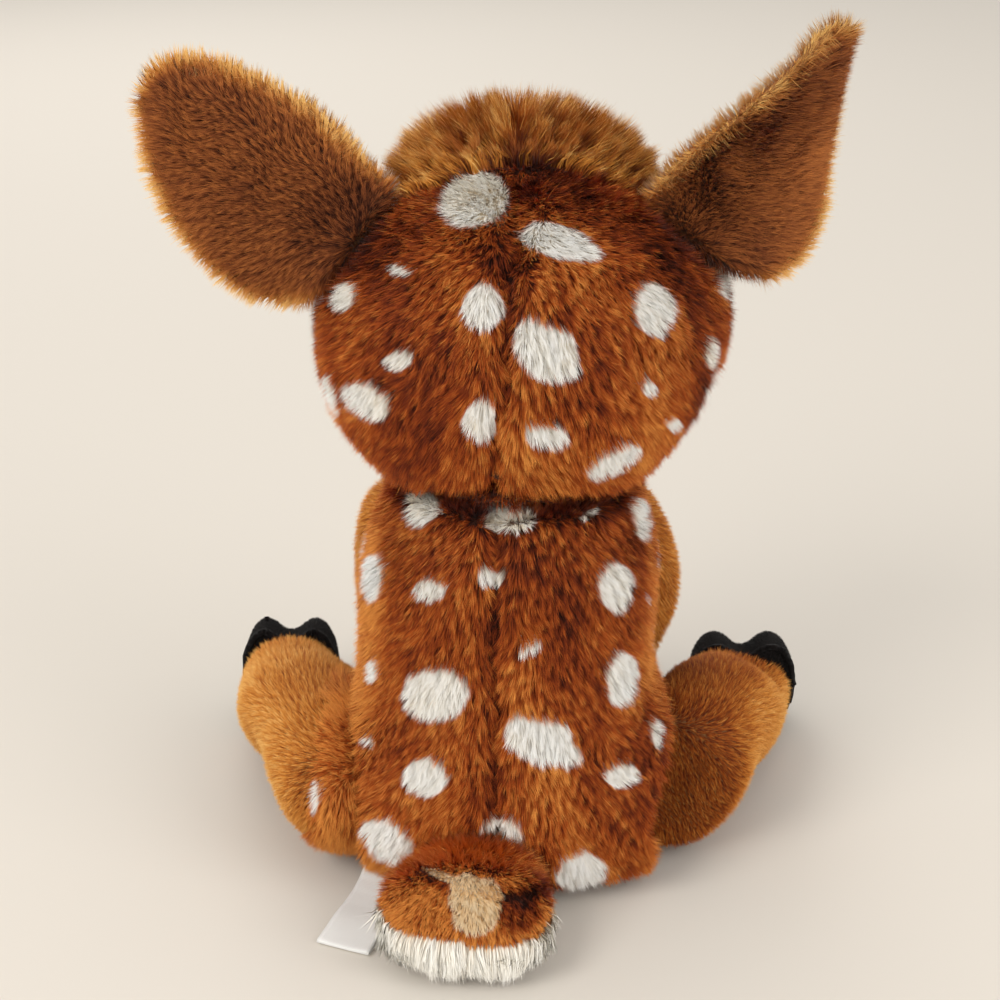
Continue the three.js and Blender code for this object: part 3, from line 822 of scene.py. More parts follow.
def growPile(name, body, look, roots, flow, plan, pale=None, spots=None):
    random = np.random.default_rng(plan["seed"])
    places, normals = roots["points"], roots["normals"]
    count = len(places)
    spine, ways, lock, stretch = layHairs(roots, flow, plan, random)
    softness = np.full((count, 1), plan.get("softness", 0.6))
    lit = np.full(count, plan.get("lit", 0.0))
    if spots:
        along = hairs["spotAlong"]
        pale = paleAt(spine[0] * (1 - along) + spine[-1] * along, spots)
    if pale is not None:
        softness += hairs["paleSoft"] * pale[:, None]
        lit += hairs["paleLit"] * pale
    facingOut = unit(normals + np.outer(lit, [0, 0, 1]))
    vertices, shades, tips = hairRibbons(spine, ways, normals, facingOut, softness, plan, random)
    faces, cell = hairGrid(len(ways))
    mesh, corners = hairMesh(name, vertices, faces)
    perHair = vertices.shape[1]
    setAttribute(mesh, "custom_normal", shades, "FLOAT_VECTOR")
    rooted = (places * stretch).astype(np.float32)
    setAttribute(mesh, "rootPlace", np.repeat(rooted, perHair, axis=0), "FLOAT_VECTOR")
    setAttribute(mesh, "tipShare", tips)
    # painted shade between the locks and painted light on their crests
    tone = hairs["tone"] + hairs["lockShadeAndLight"] * lock + hairs["ownTone"] * random.normal(size=count)
    tone += roots.get("tone", 0.0)
    # painted shade: hairs are darker in partings and creases, where shade falls
    broken = 0.9 + 0.4 * waveNoise(places, 12 * mm, plan["seed"] + 4)
    tone -= broken * (1 - smoothStep(*hairs["darkNear"], roots["partingDistance"]))
    setAttribute(mesh, "hairTone", np.repeat(tone.astype(np.float32), perHair))
    if pale is not None:
        setAttribute(mesh, "paleShare", np.repeat(pale.astype(np.float32), perHair))
    mapHairs(mesh, places, cell, corners)
    mesh.materials.append(looks[look])
    piece = addPiece(name, mesh)
    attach(piece, body)
    print("pile:", name, count, "hairs")
    return piece


# A sewn panel: the faces of the form that lie nearest its CAD node, as cloth with a thickness
clothThickness = 1.1 * mm


def panelFabric(form, panel, body, slot, fabric, pale=None):
    name = panel.replace("_panel", "").replace("_stuffing", "") + "_fabric"
    index = form["panels"].index(panel)
    mesh = form["object"].data.copy()
    mesh.name = name
    shape = bmesh.new()
    shape.from_mesh(mesh)
    layer = shape.faces.layers.int["panel"]
    bmesh.ops.delete(shape, geom=[face for face in shape.faces if face[layer] != index], context="FACES")
    for _ in range(skinFit["evenings"]):
        moved = {}
        for vert in shape.verts:
            ends = [edge.other_vert(vert).co for edge in vert.link_edges if edge.is_boundary]
            if len(ends) == 2:
                moved[vert] = vert.co * 0.5 + (ends[0] + ends[1]) * 0.25
        for vert, co in moved.items():
            vert.co = co
    shape.to_mesh(mesh)
    shape.free()
    piece = addPiece(name, mesh)
    if pale is not None:
        setAttribute(mesh, "paleShare", pale(coordinates(mesh)).astype(np.float32))
    thick = piece.modifiers.new("thickness", "SOLIDIFY")
    thick.thickness = clothThickness
    thick.offset = -1
    applyModifiers(piece)
    shadeSmooth(piece)
    dressPiece(piece, fabrics[fabric], body, slot, panel)


# Filling and other rounded parts that keep the shape of one CAD node
def roundedPart(node, name, body, slot, material, plan):
    piece, shrunk = roundedCopy(name, [node], plan)
    moveAlongNormals(piece.data, np.full(len(piece.data.vertices), -plan["depth"] - shrunk))
    pushOut(piece.data, plan.get("pushes", ()))
    if "shrink" in plan:
        points = coordinates(piece.data)
        middle = (points.min(axis=0) + points.max(axis=0)) / 2
        placePoints(piece.data, middle + (points - middle) * plan["shrink"])
    if plan.get("subdivide"):
        subdivideOnce(piece)
    shadeSmooth(piece)
    dressPiece(piece, material, body, slot, node)


hairShare = 1.0

# Torso
torso = {
    "voxel": 3.3 * mm,
    "smoothing": 24,
    "depth": 4 * mm,
    "groove": 3 * mm,
    "subdivide": True,
    "puff": 2.5 * mm,
    "pressure": 4,
    "density": 10.5,  # hairs for each square millimetre of the back, then of the belly
    "bellyDensity": 6.5,
    "collar": 138,  # mm; no hair grows higher, where the neck turns inside the head
    "clothFade": (126, 130),  # mm; the cloth's spots end here
    "seam": 1,  # x of the seam down the back in mm
    "glow": 0.35,  # painted light: how much lighter the flanks are painted where they face sideways, then how much paler the coat is at the left hip
    "hipGlow": 0.65,
    "hipFrom": (20, 46),
    "pushes": [  # middle and move in mm, and how far round it reaches: full hips and a slimmer waist
        ((46, 33, 34), (14, 7, 0), 24),
        ((42, 38, 10), (5, 4, 0), 18),
        ((-52, 31, 37), (-17, 8, 0), 22),
        ((-50, 38, 12), (-7, 5, 0), 18),
        ((-56, 12, 76), (6, 0, 0), 24),
    ],
    "spots": [
        # pixel across and down, then width and height in mm and tilt in degrees
        (418, 507, 11, 12.7, 0),
        (512, 519, 15.5, 10, 0),
        (372, 578, 9, 15, 0),
        (429, 592, 10, 6.6, 0),
        (490, 580, 7.5, 5, 0),
        (618, 589, 11, 15, 0),
        (651, 599, 3.6, 6, 0),
        (648, 520, 6, 15, 0),
        (591, 515, 8, 2.5, 35),
        (434, 697, 21.7, 16.3, 10),
        (623, 681, 10.9, 17.5, 0),
        (543, 744, 24.8, 14.5, -20),
        (530, 652, 8, 2.5, 30),
        (371, 672, 4, 7.5, 0),
        (623, 777, 11, 6.8, 0),
        (424, 780, 14, 12, 0),
        (386, 845, 19.5, 12.5, -36),
        (503, 832, 15, 10.5, 0),
        (582, 876, 16.3, 14.5, 0),
        (346, 744, 6.5, 2.8, -28),
        (659, 735, 4, 10, 0),
    ],
    "sideSpots": [  # azimuth in degrees, height in mm, width and height in mm
        (352, 104, 12, 10),
        (355, 74, 11, 13),
        (188, 100, 13, 10),
        (186, 72, 10, 13),
    ],
}
torsoPanels = ["back_left_panel", "back_right_panel", "belly_panel", "base_panel"]
longCoat = {
    "length": 6.0 * mm,
    "lean": 43,
    "lock": 1.8 * mm,
    "run": 0.4,
    "gather": 0.035,
    "width": 0.28 * mm,
    "softness": 0.75,
}
coatRun = {"offTop": 1.4, "parting": 9 * mm}  # how the coat runs off the top and away from the seam


def coatFlow(roots, partX, outward, away=1):  # down the body and off its top, parting from the seam
    points = roots["points"]
    flow = np.zeros_like(points)
    flow[:, 2] = -1
    flow[:, 1] = coatRun["offTop"] * away * np.maximum(roots["normals"][:, 2], 0)
    flow[:, 0] = outward * np.tanh((points[:, 0] - partX(points)) / coatRun["parting"])
    return flow


torsoForm = softForm(
    "torso form",
    torsoPanels,
    ["torso_stuffing", "pellet_bag"],
    torso,
    snug=[name for name in nodes if name.startswith(("hind_leg", "front_leg", "tail", "head_", "face"))],
    partings=[(0, 1)],
)
torsoSpots = [spotFromPhoto(torsoForm, *place) for place in torso["spots"]]
torsoSpots += [spotFromSide(torsoForm, *place) for place in torso["sideSpots"]]


def fadeOver(ends, values):  # from 0 to 1 between two places in mm
    return smoothStep(ends[0] * mm, ends[1] * mm, values)


def flankLightAndHipTone(roots):  # the flanks are painted lighter where they face sideways, as painted rim light, and the coat is paler at the left hip
    hip = torso["hipGlow"] * fadeOver(torso["hipFrom"], roots["points"][:, 0])
    return torso["glow"] * smoothStep(0.45, 0.95, np.abs(roots["normals"][:, 0])) + hip


def belowCollar(points, normals):
    return points[:, 2] < torso["collar"] * mm


def torsoPale(points):  # the cloth inside the head stays brown
    return paleAt(points, torsoSpots) * (1 - fadeOver(torso["clothFade"], points[:, 2]))


def backPart(points):
    return (torso["seam"] + frameShift[0]) * mm


def makeTorso():
    for index, side in enumerate(("left", "right")):
        panel = f"back_{side}_panel"
        panelFabric(torsoForm, panel, "torso", "spotted_plush", "spotted", torsoPale)
        roots = rootsOn(torsoForm, [index], torso["density"], 101 + index, belowCollar)
        # painted rim light on the flanks that face sideways, and a paler left hip
        roots["tone"] = glowRound(roots["points"], torsoSpots) + flankLightAndHipTone(roots)
        plan = {**longCoat, "seed": 110 + 10 * index}
        outward = 0.3 + 0.45 * (1 - fadeOver((20, 85), roots["points"][:, 2]))
        flow = coatFlow(roots, backPart, outward)
        name = f"back_{side}_pile"
        growPile(name, "torso", "spotted", roots, flow, plan, spots=torsoSpots)
    panelFabric(torsoForm, "belly_panel", "torso", "cream_plush", "cream")
    roots = rootsOn(torsoForm, [2], torso["bellyDensity"], 103, belowCollar)
    plan = {**longCoat, "seed": 140}
    flow = coatFlow(roots, backPart, 0.2, -1)
    growPile("belly_pile", "torso", "cream", roots, flow, plan)
    panelFabric(torsoForm, "base_panel", "torso", "golden_plush", "gold")


makeTorso()


# Head
head = {
    "voxel": 3.3 * mm,
    "smoothing": 22,
    "depth": 4 * mm,
    "groove": 3 * mm,
    "subdivide": True,
    "puff": 2 * mm,
    "pressure": 4,
    "density": 10.5,  # of the back, then of the face and of the muzzle
    "faceDensity": 8.5,
    "muzzleDensity": 9,
    "spots": [
        (472, 198, 21, 19, 0),
        (560, 242, 24, 10, -14),
        (657, 311, 12.6, 14.6, 0),
        (484, 310, 12.6, 13.5, 0),
        (548, 354, 20.5, 15.5, -32),
        (340, 297, 8, 9, 0),
        (397, 362, 8.5, 5, 0),
        (364, 402, 17, 9, -28),
        (479, 424, 10, 11.5, 0),
        (548, 439, 13.5, 6.5, 0),
        (615, 464, 18, 6, 28),
        (651, 390, 4.5, 4, 0),
        (397, 271, 7.5, 2.5, -30),
        (725, 357, 4, 10, 0),
        (680, 430, 5, 4, 0),
    ],
    "sideSpots": [
        (8, 190, 12, 10),
        (20, 160, 11, 13),
        (352, 165, 8, 9),
        (170, 192, 12, 10),
        (162, 162, 10, 13),
        (186, 168, 9, 8),
        (248, 218, 12, 9),
        (292, 216, 10, 9),
        (270, 203, 7, 10),
    ],
    "pushes": [((-62, 5, 146), (5, 0, 2), 24)],
    "pivot": (-4, 8, 105),  # the head turns here on the round top of the neck
    "cup": 49.5,  # mm; no hair grows nearer to the pivot than this
    "tuftHem": 163,  # pixel row of the tuft's lowest roots at the back
    "tuftHemDrop": 30,  # and how much lower it is on the right, over these places in mm
    "tuftHemSide": (30, 55),
    "seamBottom": 2.4,  # the seam up the back of the head, and how it leans
    "seamLean": -0.078,
    "seamHeight": 140,
    "faceMiddle": (-7, -60, 165),
    "cheekFall": 0.7,  # how much the hair turns down at the cheeks, over these distances from there
    "cheekFrom": (15, 60),
    "earShade": 0.22,  # painted shade: how much darker the coat is painted beside the ears, in their shadow, over these places out and up
    "earShadeOut": (20, 50),
    "earShadeUp": (185, 205),
}
headPanels = [
    "head_back_left_panel",
    "head_back_right_panel",
    "face_left_panel",
    "face_right_panel",
    "muzzle_panel",
]
earNodes = [f"ear_{part}_{side}" for part in ("back", "lining") for side in ("left", "right")]
headForm = softForm(
    "head form",
    headPanels,
    ["head_stuffing"],
    head,
    hidden=[*earNodes, "nose", "eye_left", "eye_right"],
    snug=[*earNodes, "back_left_panel", "back_right_panel", "belly_panel", "torso_stuffing"],
    partings=[(0, 1)],
)
headSpots = [spotFromPhoto(headForm, *place) for place in head["spots"]]
headSpots += [spotFromSide(headForm, *place) for place in head["sideSpots"]]
tuftTree = treeOf(["crown_tuft"])


def underTuft(points, reach=5 * mm):
    near = np.array([tuftTree.find_nearest(Vector(point))[3] < reach for point in points])
    lower = head["tuftHemDrop"] * fadeOver(head["tuftHemSide"], -points[:, 0])
    behind = (points[:, 1] > 0) & (photoRow(points) > head["tuftHem"] + lower)
    return near & ~behind


def headPart(points):
    lean = head["seamLean"] * (points[:, 2] / mm - head["seamHeight"])
    return (head["seamBottom"] + lean + frameShift[0]) * mm


def faceFlow(roots):  # from the nose outwards and back, and down at the cheeks
    off = roots["points"] - np.array(at(*head["faceMiddle"]))
    flow = unit(off)
    flow[:, 2] -= head["cheekFall"] * fadeOver(head["cheekFrom"], np.linalg.norm(off, axis=1))
    return flow


def earShade(points):  # painted shade: the coat is darker high up beside the ears, in their shadow
    beside = fadeOver(head["earShadeOut"], np.abs(points[:, 0] - at(*head["faceMiddle"]).x))
    return head["earShade"] * beside * fadeOver(head["earShadeUp"], points[:, 2])


def headPale(points):
    return paleAt(points, headSpots)


def makeHead():
    pivot = np.array(at(*head["pivot"]))

    def bare(points, normals):
        inCup = np.linalg.norm(points - pivot, axis=1) < head["cup"] * mm
        return ~underTuft(points) & ~inCup

    for index, panel in enumerate(headPanels[:4]):
        panelFabric(headForm, panel, "head", "spotted_plush", "spotted", headPale)
        isBack = index < 2
        density = head["density"] if isBack else head["faceDensity"]
        roots = rootsOn(headForm, [index], density, 201 + index, bare)
        roots["tone"] = glowRound(roots["points"], headSpots) - earShade(roots["points"])
        plan = {**longCoat, "seed": 210 + 10 * index}
        flow = coatFlow(roots, headPart, 0.6) if isBack else faceFlow(roots)
        name = panel.replace("_panel", "_pile")
        growPile(name, "head", "spotted", roots, flow, plan, spots=headSpots)
    panelFabric(headForm, "muzzle_panel", "head", "cream_plush", "cream")
    roots = rootsOn(headForm, [4], head["muzzleDensity"], 205)
    stitch = distancesTo(["mouth_stitch"], roots["points"])
    roots["lengthShare"] = 0.4 + 0.6 * smoothStep(1.5 * mm, 5 * mm, stitch)
    plan = {**shortCoat, "seed": 260}
    growPile("muzzle_pile", "head", "cream", roots, faceFlow(roots), plan)


shortCoat = {
    "length": 3.6 * mm,
    "lean": 38,
    "lock": 1.5 * mm,
    "gather": 0.03,
    "width": 0.26 * mm,
    "softness": 0.75,
}
makeHead()

# Neck: plush over the round top of the filling, which shows when the head turns or nods
neck = {
    "voxel": 3 * mm,
    "smoothing": 10,
    "depth": 2.8 * mm,
    "tuck": 0,
    "density": 8,
    "front": (-14, -2),  # cream at the throat, from one y in mm to the other
    "fillingSize": (0.84, 0.84, 0.6),  # share of the plush round it
}


def makeNeck():
    form = softForm("neck form", ["neck_stuffing"], [], neck)

    def palePart(points):
        return 1 - fadeOver(neck["front"], points[:, 1])

    def notUnder(points, normals):
        return normals[:, 2] > -0.85

    panelFabric(form, "neck_stuffing", "neck", "spotted_plush", "spotted", palePart)
    roots = rootsOn(form, [0], neck["density"], 280, notUnder)
    flow = coatFlow(roots, headPart, 0.4)
    plan = {**longCoat, "seed": 281}
    growPile("neck_pile", "neck", "spotted", roots, flow, plan, palePart(roots["points"]))


makeNeck()

# Tuft of long hair on the crown
tuft = {
    "density": 10,
    "reach": 6 * mm,  # hairs grow this close under the tuft's shape
    "length": 1 * mm,  # each hair's own length in mm comes from that shape
    "least": 6,
    "past": 0.3,  # how far the tips stand past the shape, mm
    "lean": 6,
    "bend": 22,
    "lock": 5 * mm,
    "gather": 0.045,
    "width": 0.36 * mm,
    "steps": 2,
    "seed": 301,
    "uneven": 0.06,
    "middle": at(-6.5, -8, 190),
    "outside": 80 * mm,  # further from the roots than any tip
    "tone": 0.35,
    "rightShade": 0.6,  # painted shade: how much darker it is painted on the right, in the shade there, over these places in mm
    "rightFrom": (25, 50),
}


def tuftLengths(points, out):  # from each root to where its hair leaves the tuft's shape, in mm
    start = tuft["outside"]
    lengths = []
    for point, way in zip(points, out):
        hit = tuftTree.ray_cast(Vector(point + way * start), Vector(-way))
        lengths.append(0 if hit[0] is None else (start - hit[3]) / mm + tuft["past"])
    return np.maximum(lengths, tuft["least"])


def bearsTuft(points, normals):
    return underTuft(points, tuft["reach"])


def makeTuft():
    roots = rootsOn(headForm, [0, 1, 2, 3], tuft["density"], 300, bearsTuft)
    roots["partingDistance"] = np.full(len(roots["points"]), 1.0)
    out = unit(roots["points"] - np.array(tuft["middle"]))
    roots["lengthShare"] = tuftLengths(roots["points"], out)
    # painted shade on the right of the tuft
    roots["tone"] = tuft["tone"] - tuft["rightShade"] * fadeOver(tuft["rightFrom"], -roots["points"][:, 0])
    pile = growPile("crown_tuft_pile", "head", "tuft", roots, out, tuft)
    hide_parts("crown_tuft")


makeTuft()

# Ears
ears = {
    "voxel": 1.8 * mm,
    "smoothing": 8,
    "depth": 3.3 * mm,
    "tuck": 0,
    "pushes": {
        "left": [((60, 7, 205), (0, 0, -2), 26), ((48, 7, 236), (-1.5, 0, 3), 18)],
        "right": [((-80, 7, 228), (1.5, 0, 0), 40), ((-64, 7, 236), (5, 0, 3), 26)],
    },
    "tone": {"left": 0.0, "right": 0.2},
    "density": (10, 8),  # of the back, then of the lining
    "rim": (2, 8.5),  # mm from the edge seam over which the golden rim fades
    "rimTone": 1.3,
    "base": (14, 26),  # mm from where the ear is sewn on over which the painted shade at its foot fades
    "footShade": 0.5,
}
earCoat = {
    "length": 4.8 * mm,
    "lean": 38,
    "lock": 1.8 * mm,
    "gather": 0.03,
    "width": 0.28 * mm,
    "softness": 0.75,
}


def makeEar(side):
    body = f"ear_{side}"
    plan = {**ears, "pushes": ears["pushes"][side]}
    snug = ["crown_tuft", *headPanels[:4]]
    panels = [f"ear_back_{side}", f"ear_lining_{side}"]
    form = softForm(f"ear {side} form", panels, [], plan, snug=snug)
    anchor = np.array(earBase[side])
    seed = 400 + 50 * (side == "right")
    for index, panel in enumerate(panels):
        isBack = index == 0
        slot = "spotted_plush" if isBack else "cream_plush"
        panelFabric(form, panel, body, slot, "ear" if isBack else "lining", earEdge(form))
        roots = rootsOn(form, [index], ears["density"][index], seed + index)
        ragged = waveNoise(roots["points"], 8 * mm, seed) * 0.6 * mm
        off = roots["points"] - anchor
        base = 1 - fadeOver(ears["base"], np.linalg.norm(off, axis=1))
        fringe = 1 - fadeOver(ears["rim"], roots["seamDistance"] + ragged)
        fringe *= 1 - base
        roots["lengthShare"] = 1 + 0.25 * fringe
        # painted shade at the ear's foot, where it meets the head
        roots["tone"] = ears["rimTone"] * fringe - ears["footShade"] * base + ears["tone"][side]
        along = unit(form["points"].mean(axis=0) - anchor)
        outward = unit(off - np.outer(off @ along, along))
        flow = unit(off) + 0.9 * fringe[:, None] * outward
        plan = {**earCoat, "seed": seed + 10 * index + 5}
        look = "ear" if isBack else "lining"
        growPile(f"{panel}_pile", body, look, roots, flow, plan, fringe)


def earEdge(form):
    tree = form["tree"]
    corner = form["points"][form["triangles"]].mean(axis=1)
    distance = form["seamDistance"][form["triangles"]].mean(axis=1)

    def edge(points):
        near = [tree.find_nearest(Vector(point))[2] for point in points]
        return 1 - fadeOver(ears["rim"], distance[near])

    return edge


earBase = {"left": at(40, 7, 203), "right": at(-56, 7, 202)}
for side in ("left", "right"):
    makeEar(side)

# Front legs
frontLegs = {"voxel": 2.4 * mm, "smoothing": 12, "depth": 2.8 * mm, "tuck": 0, "density": 7.5}


def makeFrontLeg(side):
    body = f"front_leg_{side}"
    sleeve, hoof = f"front_leg_{side}_sleeve", f"front_hoof_{side}"
    inside = [f"front_leg_{side}_stuffing"]
    form = softForm(f"front leg {side} form", [sleeve], inside, frontLegs, snug=[hoof, *torsoPanels])
    panelFabric(form, sleeve, body, "golden_plush", "gold")
    seed = 500 + 50 * (side == "right")
    roots = rootsOn(form, [0], frontLegs["density"], seed)
    flow = np.tile([0, -0.35, -1.0], (len(roots["points"]), 1))
    plan = {**shortCoat, "seed": seed + 5}
    growPile(f"front_leg_{side}_pile", body, "gold", roots, flow, plan)


# Hind legs
hindLegs = {
    "voxel": 2.6 * mm,
    "smoothing": 16,
    "depth": 2.8 * mm,
    "tuck": 0,
    # painted shade: the right leg's plush is painted darker all over, as in shadow
    "tone": {"left": 0.0, "right": -0.75},
    "rimTone": {"left": 0.35, "right": 0.9},  # painted light: the plush is painted paler where it faces outwards, as a lit rim
    "thighEdge": (54, 62),  # how far out the long brown pile reaches on the left thigh, high and low
    "thighHigh": 55,  # the height that the first of these is for
    "thighFront": -12,  # and how far forwards it reaches
    "thighTone": 0.6,  # its tone, and how much paler it is further out, over these places in mm
    "thighGlow": 0.55,
    "thighGlowFrom": (46, 60),
    "density": 8,  # hairs for each square millimetre, then those of that long pile
    "thighDensity": 10.5,
    "thighSpots": [(313, 798, 2.4, 11, 0)],
    "pushes": {  # slack low on the outer side and where the leg goes in beside the hip
        "left": [
            ((82, 6, 12), (-8, -6, 2), 24),
            ((72, 16, 8), (-3, -8, 1), 20),
            ((88, -8, 42), (3, 0, 0), 24),
            ((56, 36, 34), (0, 7, 0), 18),
        ],
        "right": [
            ((-88, 8, 12), (6, -4, 2), 24),
            ((-78, 18, 8), (2, -2, 0), 20),
            ((-56, 40, 30), (-2, -17, 0), 23),
            ((-92, -46, 36), (3, 0, -6), 16),
        ],
    },
}


def makeHindLeg(side):
    body = f"hind_leg_{side}"
    sleeve, hoof = f"hind_leg_{side}_sleeve", f"hind_hoof_{side}"
    inside = [f"hind_leg_{side}_stuffing"]
    plan = {**hindLegs, "pushes": hindLegs["pushes"][side]}
    form = softForm(f"hind leg {side} form", [sleeve], inside, plan, snug=[hoof, *torsoPanels])
    panelFabric(form, sleeve, body, "golden_plush", "gold")
    seed = 600 + 50 * (side == "right")
    high, low = hindLegs["thighEdge"]

    def isThigh(points, normals):
        x, y, z = ownPlaces(points)
        ragged = waveNoise(points, 9 * mm, seed)
        edge = low + (high - low) * z / hindLegs["thighHigh"] + ragged * 0.8
        behind = y > hindLegs["thighFront"] + ragged * 2
        return (x < edge) & behind & (side == "left")

    out = 1 if side == "left" else -1
    roots = rootsOn(
        form, [0], hindLegs["density"], seed, lambda points, normals: ~isThigh(points, normals)
    )
    behind = smoothStep(0.1, 0.9, roots["normals"][:, 1])[:, None]
    flow = (1 - behind) * np.array([0.3 * out, -1, -0.45]) + behind * np.array([0.7 * out, 0, -0.8])
    # painted light on the side that faces outwards, and painted shade over the whole right leg
    rim = smoothStep(0.35, 0.95, roots["normals"][:, 0] * out)
    roots["tone"] = hindLegs["tone"][side] + hindLegs["rimTone"][side] * rim
    plan = {**shortCoat, "seed": seed + 5}
    growPile(f"hind_leg_{side}_pile", body, "gold", roots, flow, plan)
    if side == "left":
        roots = rootsOn(form, [0], hindLegs["thighDensity"], seed + 1, isThigh)
        flow = np.tile([0.8, -0.2, -1.0], (len(roots["points"]), 1))
        spots = [spotFromPhoto(form, *place) for place in hindLegs["thighSpots"]] + torsoSpots
        further = fadeOver(hindLegs["thighGlowFrom"], roots["points"][:, 0])
        roots["tone"] = hindLegs["thighTone"] + hindLegs["thighGlow"] * further
        plan = {**longCoat, "seed": seed + 15}
        name = "hind_leg_left_thigh_pile"
        growPile(name, body, "spotted", roots, flow, plan, spots=spots)


# Hooves of black velour
hooves = {
    "voxel": 1.4 * mm,
    "smoothing": 26,
    "depth": 3.5 * mm,
    "closing": 2.8 * mm,  # the solid is grown by this first, which closes its cleft
    "tuck": 0,
    "density": 9,
}
napCoat = {
    "length": 1.1 * mm,
    "lean": 30,
    "lock": 1.2 * mm,
    "gather": 0.03,
    "width": 0.22 * mm,
    "softness": 0.5,
}


def velourMaterial():
    material, tree, shader = newMaterial("black velour")
    nap = calculate(tree, "MULTIPLY", cloud(tree, 1500, 3), cloud(tree, 130, 3))
    colour = colourRamp(tree, nap, [(0.12, (8, 7, 7)), (0.4, (34, 30, 29))])
    values = {"Roughness": 0.95, "Specular IOR Level": 0.03, "Sheen Weight": 0.06, "Sheen Roughness": 0.6}
    applyFinish(tree, shader, colour, values, (nap, 0.6, 0.4 * mm))
    return material


def makeHoof(end, side):
    name, body = f"{end}_hoof_{side}", f"{end}_leg_{side}"
    form = softForm(f"{name} form", [name], [], hooves)
    panelFabric(form, name, body, "black_velour", "velour")
    seed = 800 + 20 * (side == "right") + 10 * (end == "front")
    roots = rootsOn(form, [0], hooves["density"], seed)
    flow = np.tile([0, -0.3, -1.0], (len(roots["points"]), 1))
    growPile(f"{name}_nap", body, "velour", roots, flow, {**napCoat, "seed": seed + 1})


velour = velourMaterial()
fabrics["velour"] = velour
looks["velour"] = pileMaterial("black nap", [(0.1, (6, 5, 5)), (0.9, (40, 36, 34))], lockShare=0.5)
for side in ("left", "right"):
    makeFrontLeg(side)
    makeHindLeg(side)
    makeHoof("front", side)
    makeHoof("hind", side)

# Tail: a brown top and a long white fringe that comes up round its edge
tail = {
    "voxel": 2.2 * mm,
    "smoothing": 12,
    "depth": 4 * mm,
    "tuck": 0,
    "subdivide": True,
    "edge": 18,  # height of the seam between top and underside in mm, and how it slopes
    "edgeSlope": 0.02,
    "edgeDrop": 0.05,
    "root": (9, 46, 24),
    "spots": [(466, 899, 12, 14, 0), (483, 902, 12, 14, 0), (474, 917, 15, 11, 0), (444, 879, 17, 2.4, -18)],
    "dark": [(518, 906, 15, 11, 20)],
    "bright": (862, 884),  # pixel rows over which the painted light on the top above the crease fades
    "tone": 0.85,  # of the whole, then what is added at its edge, in the dark part and at the top as painted light
    "edgeTone": 0.15,
    "darkTone": -1.1,
    "topLight": 0.6,
    "density": (12, 18),  # of the top, then of the fringe
    "crease": ((404, 864), (425, 872), (450, 880), (475, 888), (500, 894), (522, 894), (545, 887)),
}
fringeCoat = {
    **longCoat,
    "length": 9.5 * mm,
    "steps": 2,
    "lock": 4 * mm,
    "gather": 0.005,
    "wander": 0.08,
    "uneven": 0.06,
    "lean": 36,
    "bend": 26,
    "width": 0.42 * mm,
    "softness": 1,
    "lit": 0.9,  # how far the light on it comes from above, as it passes through white hair
}


def tailEdge(points):
    x, y, _ = ownPlaces(points)
    return (tail["edge"] + tail["edgeSlope"] * (x - 11) - tail["edgeDrop"] * (y - 58)) * mm


def belowTailEdge(points):
    return (points[:, 2] < tailEdge(points)).astype(int)


def fringeShare(points, normals):  # shorter near the floor, towards the sides and high on the left
    share = 0.55 + 0.45 * fadeOver((2, 12), points[:, 2])
    share *= 0.4 + 0.6 * smoothStep(-0.1, 0.45, normals[:, 1])
    return share * (1 - 0.6 * (fadeOver((10, 17), points[:, 2]) * smoothStep(0.3, 0.8, normals[:, 0])))


def makeTail():
    panels = ["tail_top_panel", "tail_underside_panel"]
    touching = ["back_left_panel", "back_right_panel", "base_panel"]
    form = softForm(
        "tail form", panels, ["tail_stuffing"], tail, hidden=touching, snug=touching, split=belowTailEdge
    )
    spots = [spotFromPhoto(form, *place) for place in tail["spots"]]
    crease = [nearestToRay(form["tree"], camera["eye"], photoRay(*pixel))[0] for pixel in tail["crease"]]

    def patch(points):
        return paleAt(points, spots)

    panelFabric(form, panels[0], "tail", "spotted_plush", "spotted", patch)
    panelFabric(form, panels[1], "tail", "cream_plush", "cream")
    for index, name in enumerate(("tail_top_pile", "tail_underside_pile")):
        roots = rootsOn(form, [index], tail["density"][index], 700 + index)
        flow = (roots["points"] - np.array(at(*tail["root"]))) * [0.6, 1, 1]
        near = 1 - fadeOver((1, 7), roots["seamDistance"])
        if index:
            roots["lengthShare"] = fringeShare(roots["points"], roots["normals"])
            plan = {**fringeCoat, "seed": 720}
            growPile(name, "tail", "cream", roots, flow, plan)
            continue
        # the crease takes the painted shade of a parting
        roots["partingDistance"] = distancesToPoints(densePath(crease), roots["points"])
        roots["lengthShare"] = 1 - 0.5 * near
        dark = paleAt(roots["points"], [spotFromPhoto(form, *place) for place in tail["dark"]])
        # painted light: the top of the tail is lighter, as lit from above
        top = 1 - smoothStep(*tail["bright"], photoRow(roots["points"]))
        roots["tone"] = tail["edgeTone"] * near + tail["tone"] + tail["darkTone"] * dark
        roots["tone"] += tail["topLight"] * top
        plan = {**longCoat, "seed": 710}
        growPile(name, "tail", "tail", roots, flow, plan, spots=spots)


def densePath(places, step=1 * mm):
    path = []
    for first, second in zip(places, places[1:]):
        count = max(int((second - first).length / step), 1)
        path += [first.lerp(second, index / count) for index in range(count)]
    return [*path, places[-1]]


makeTail()


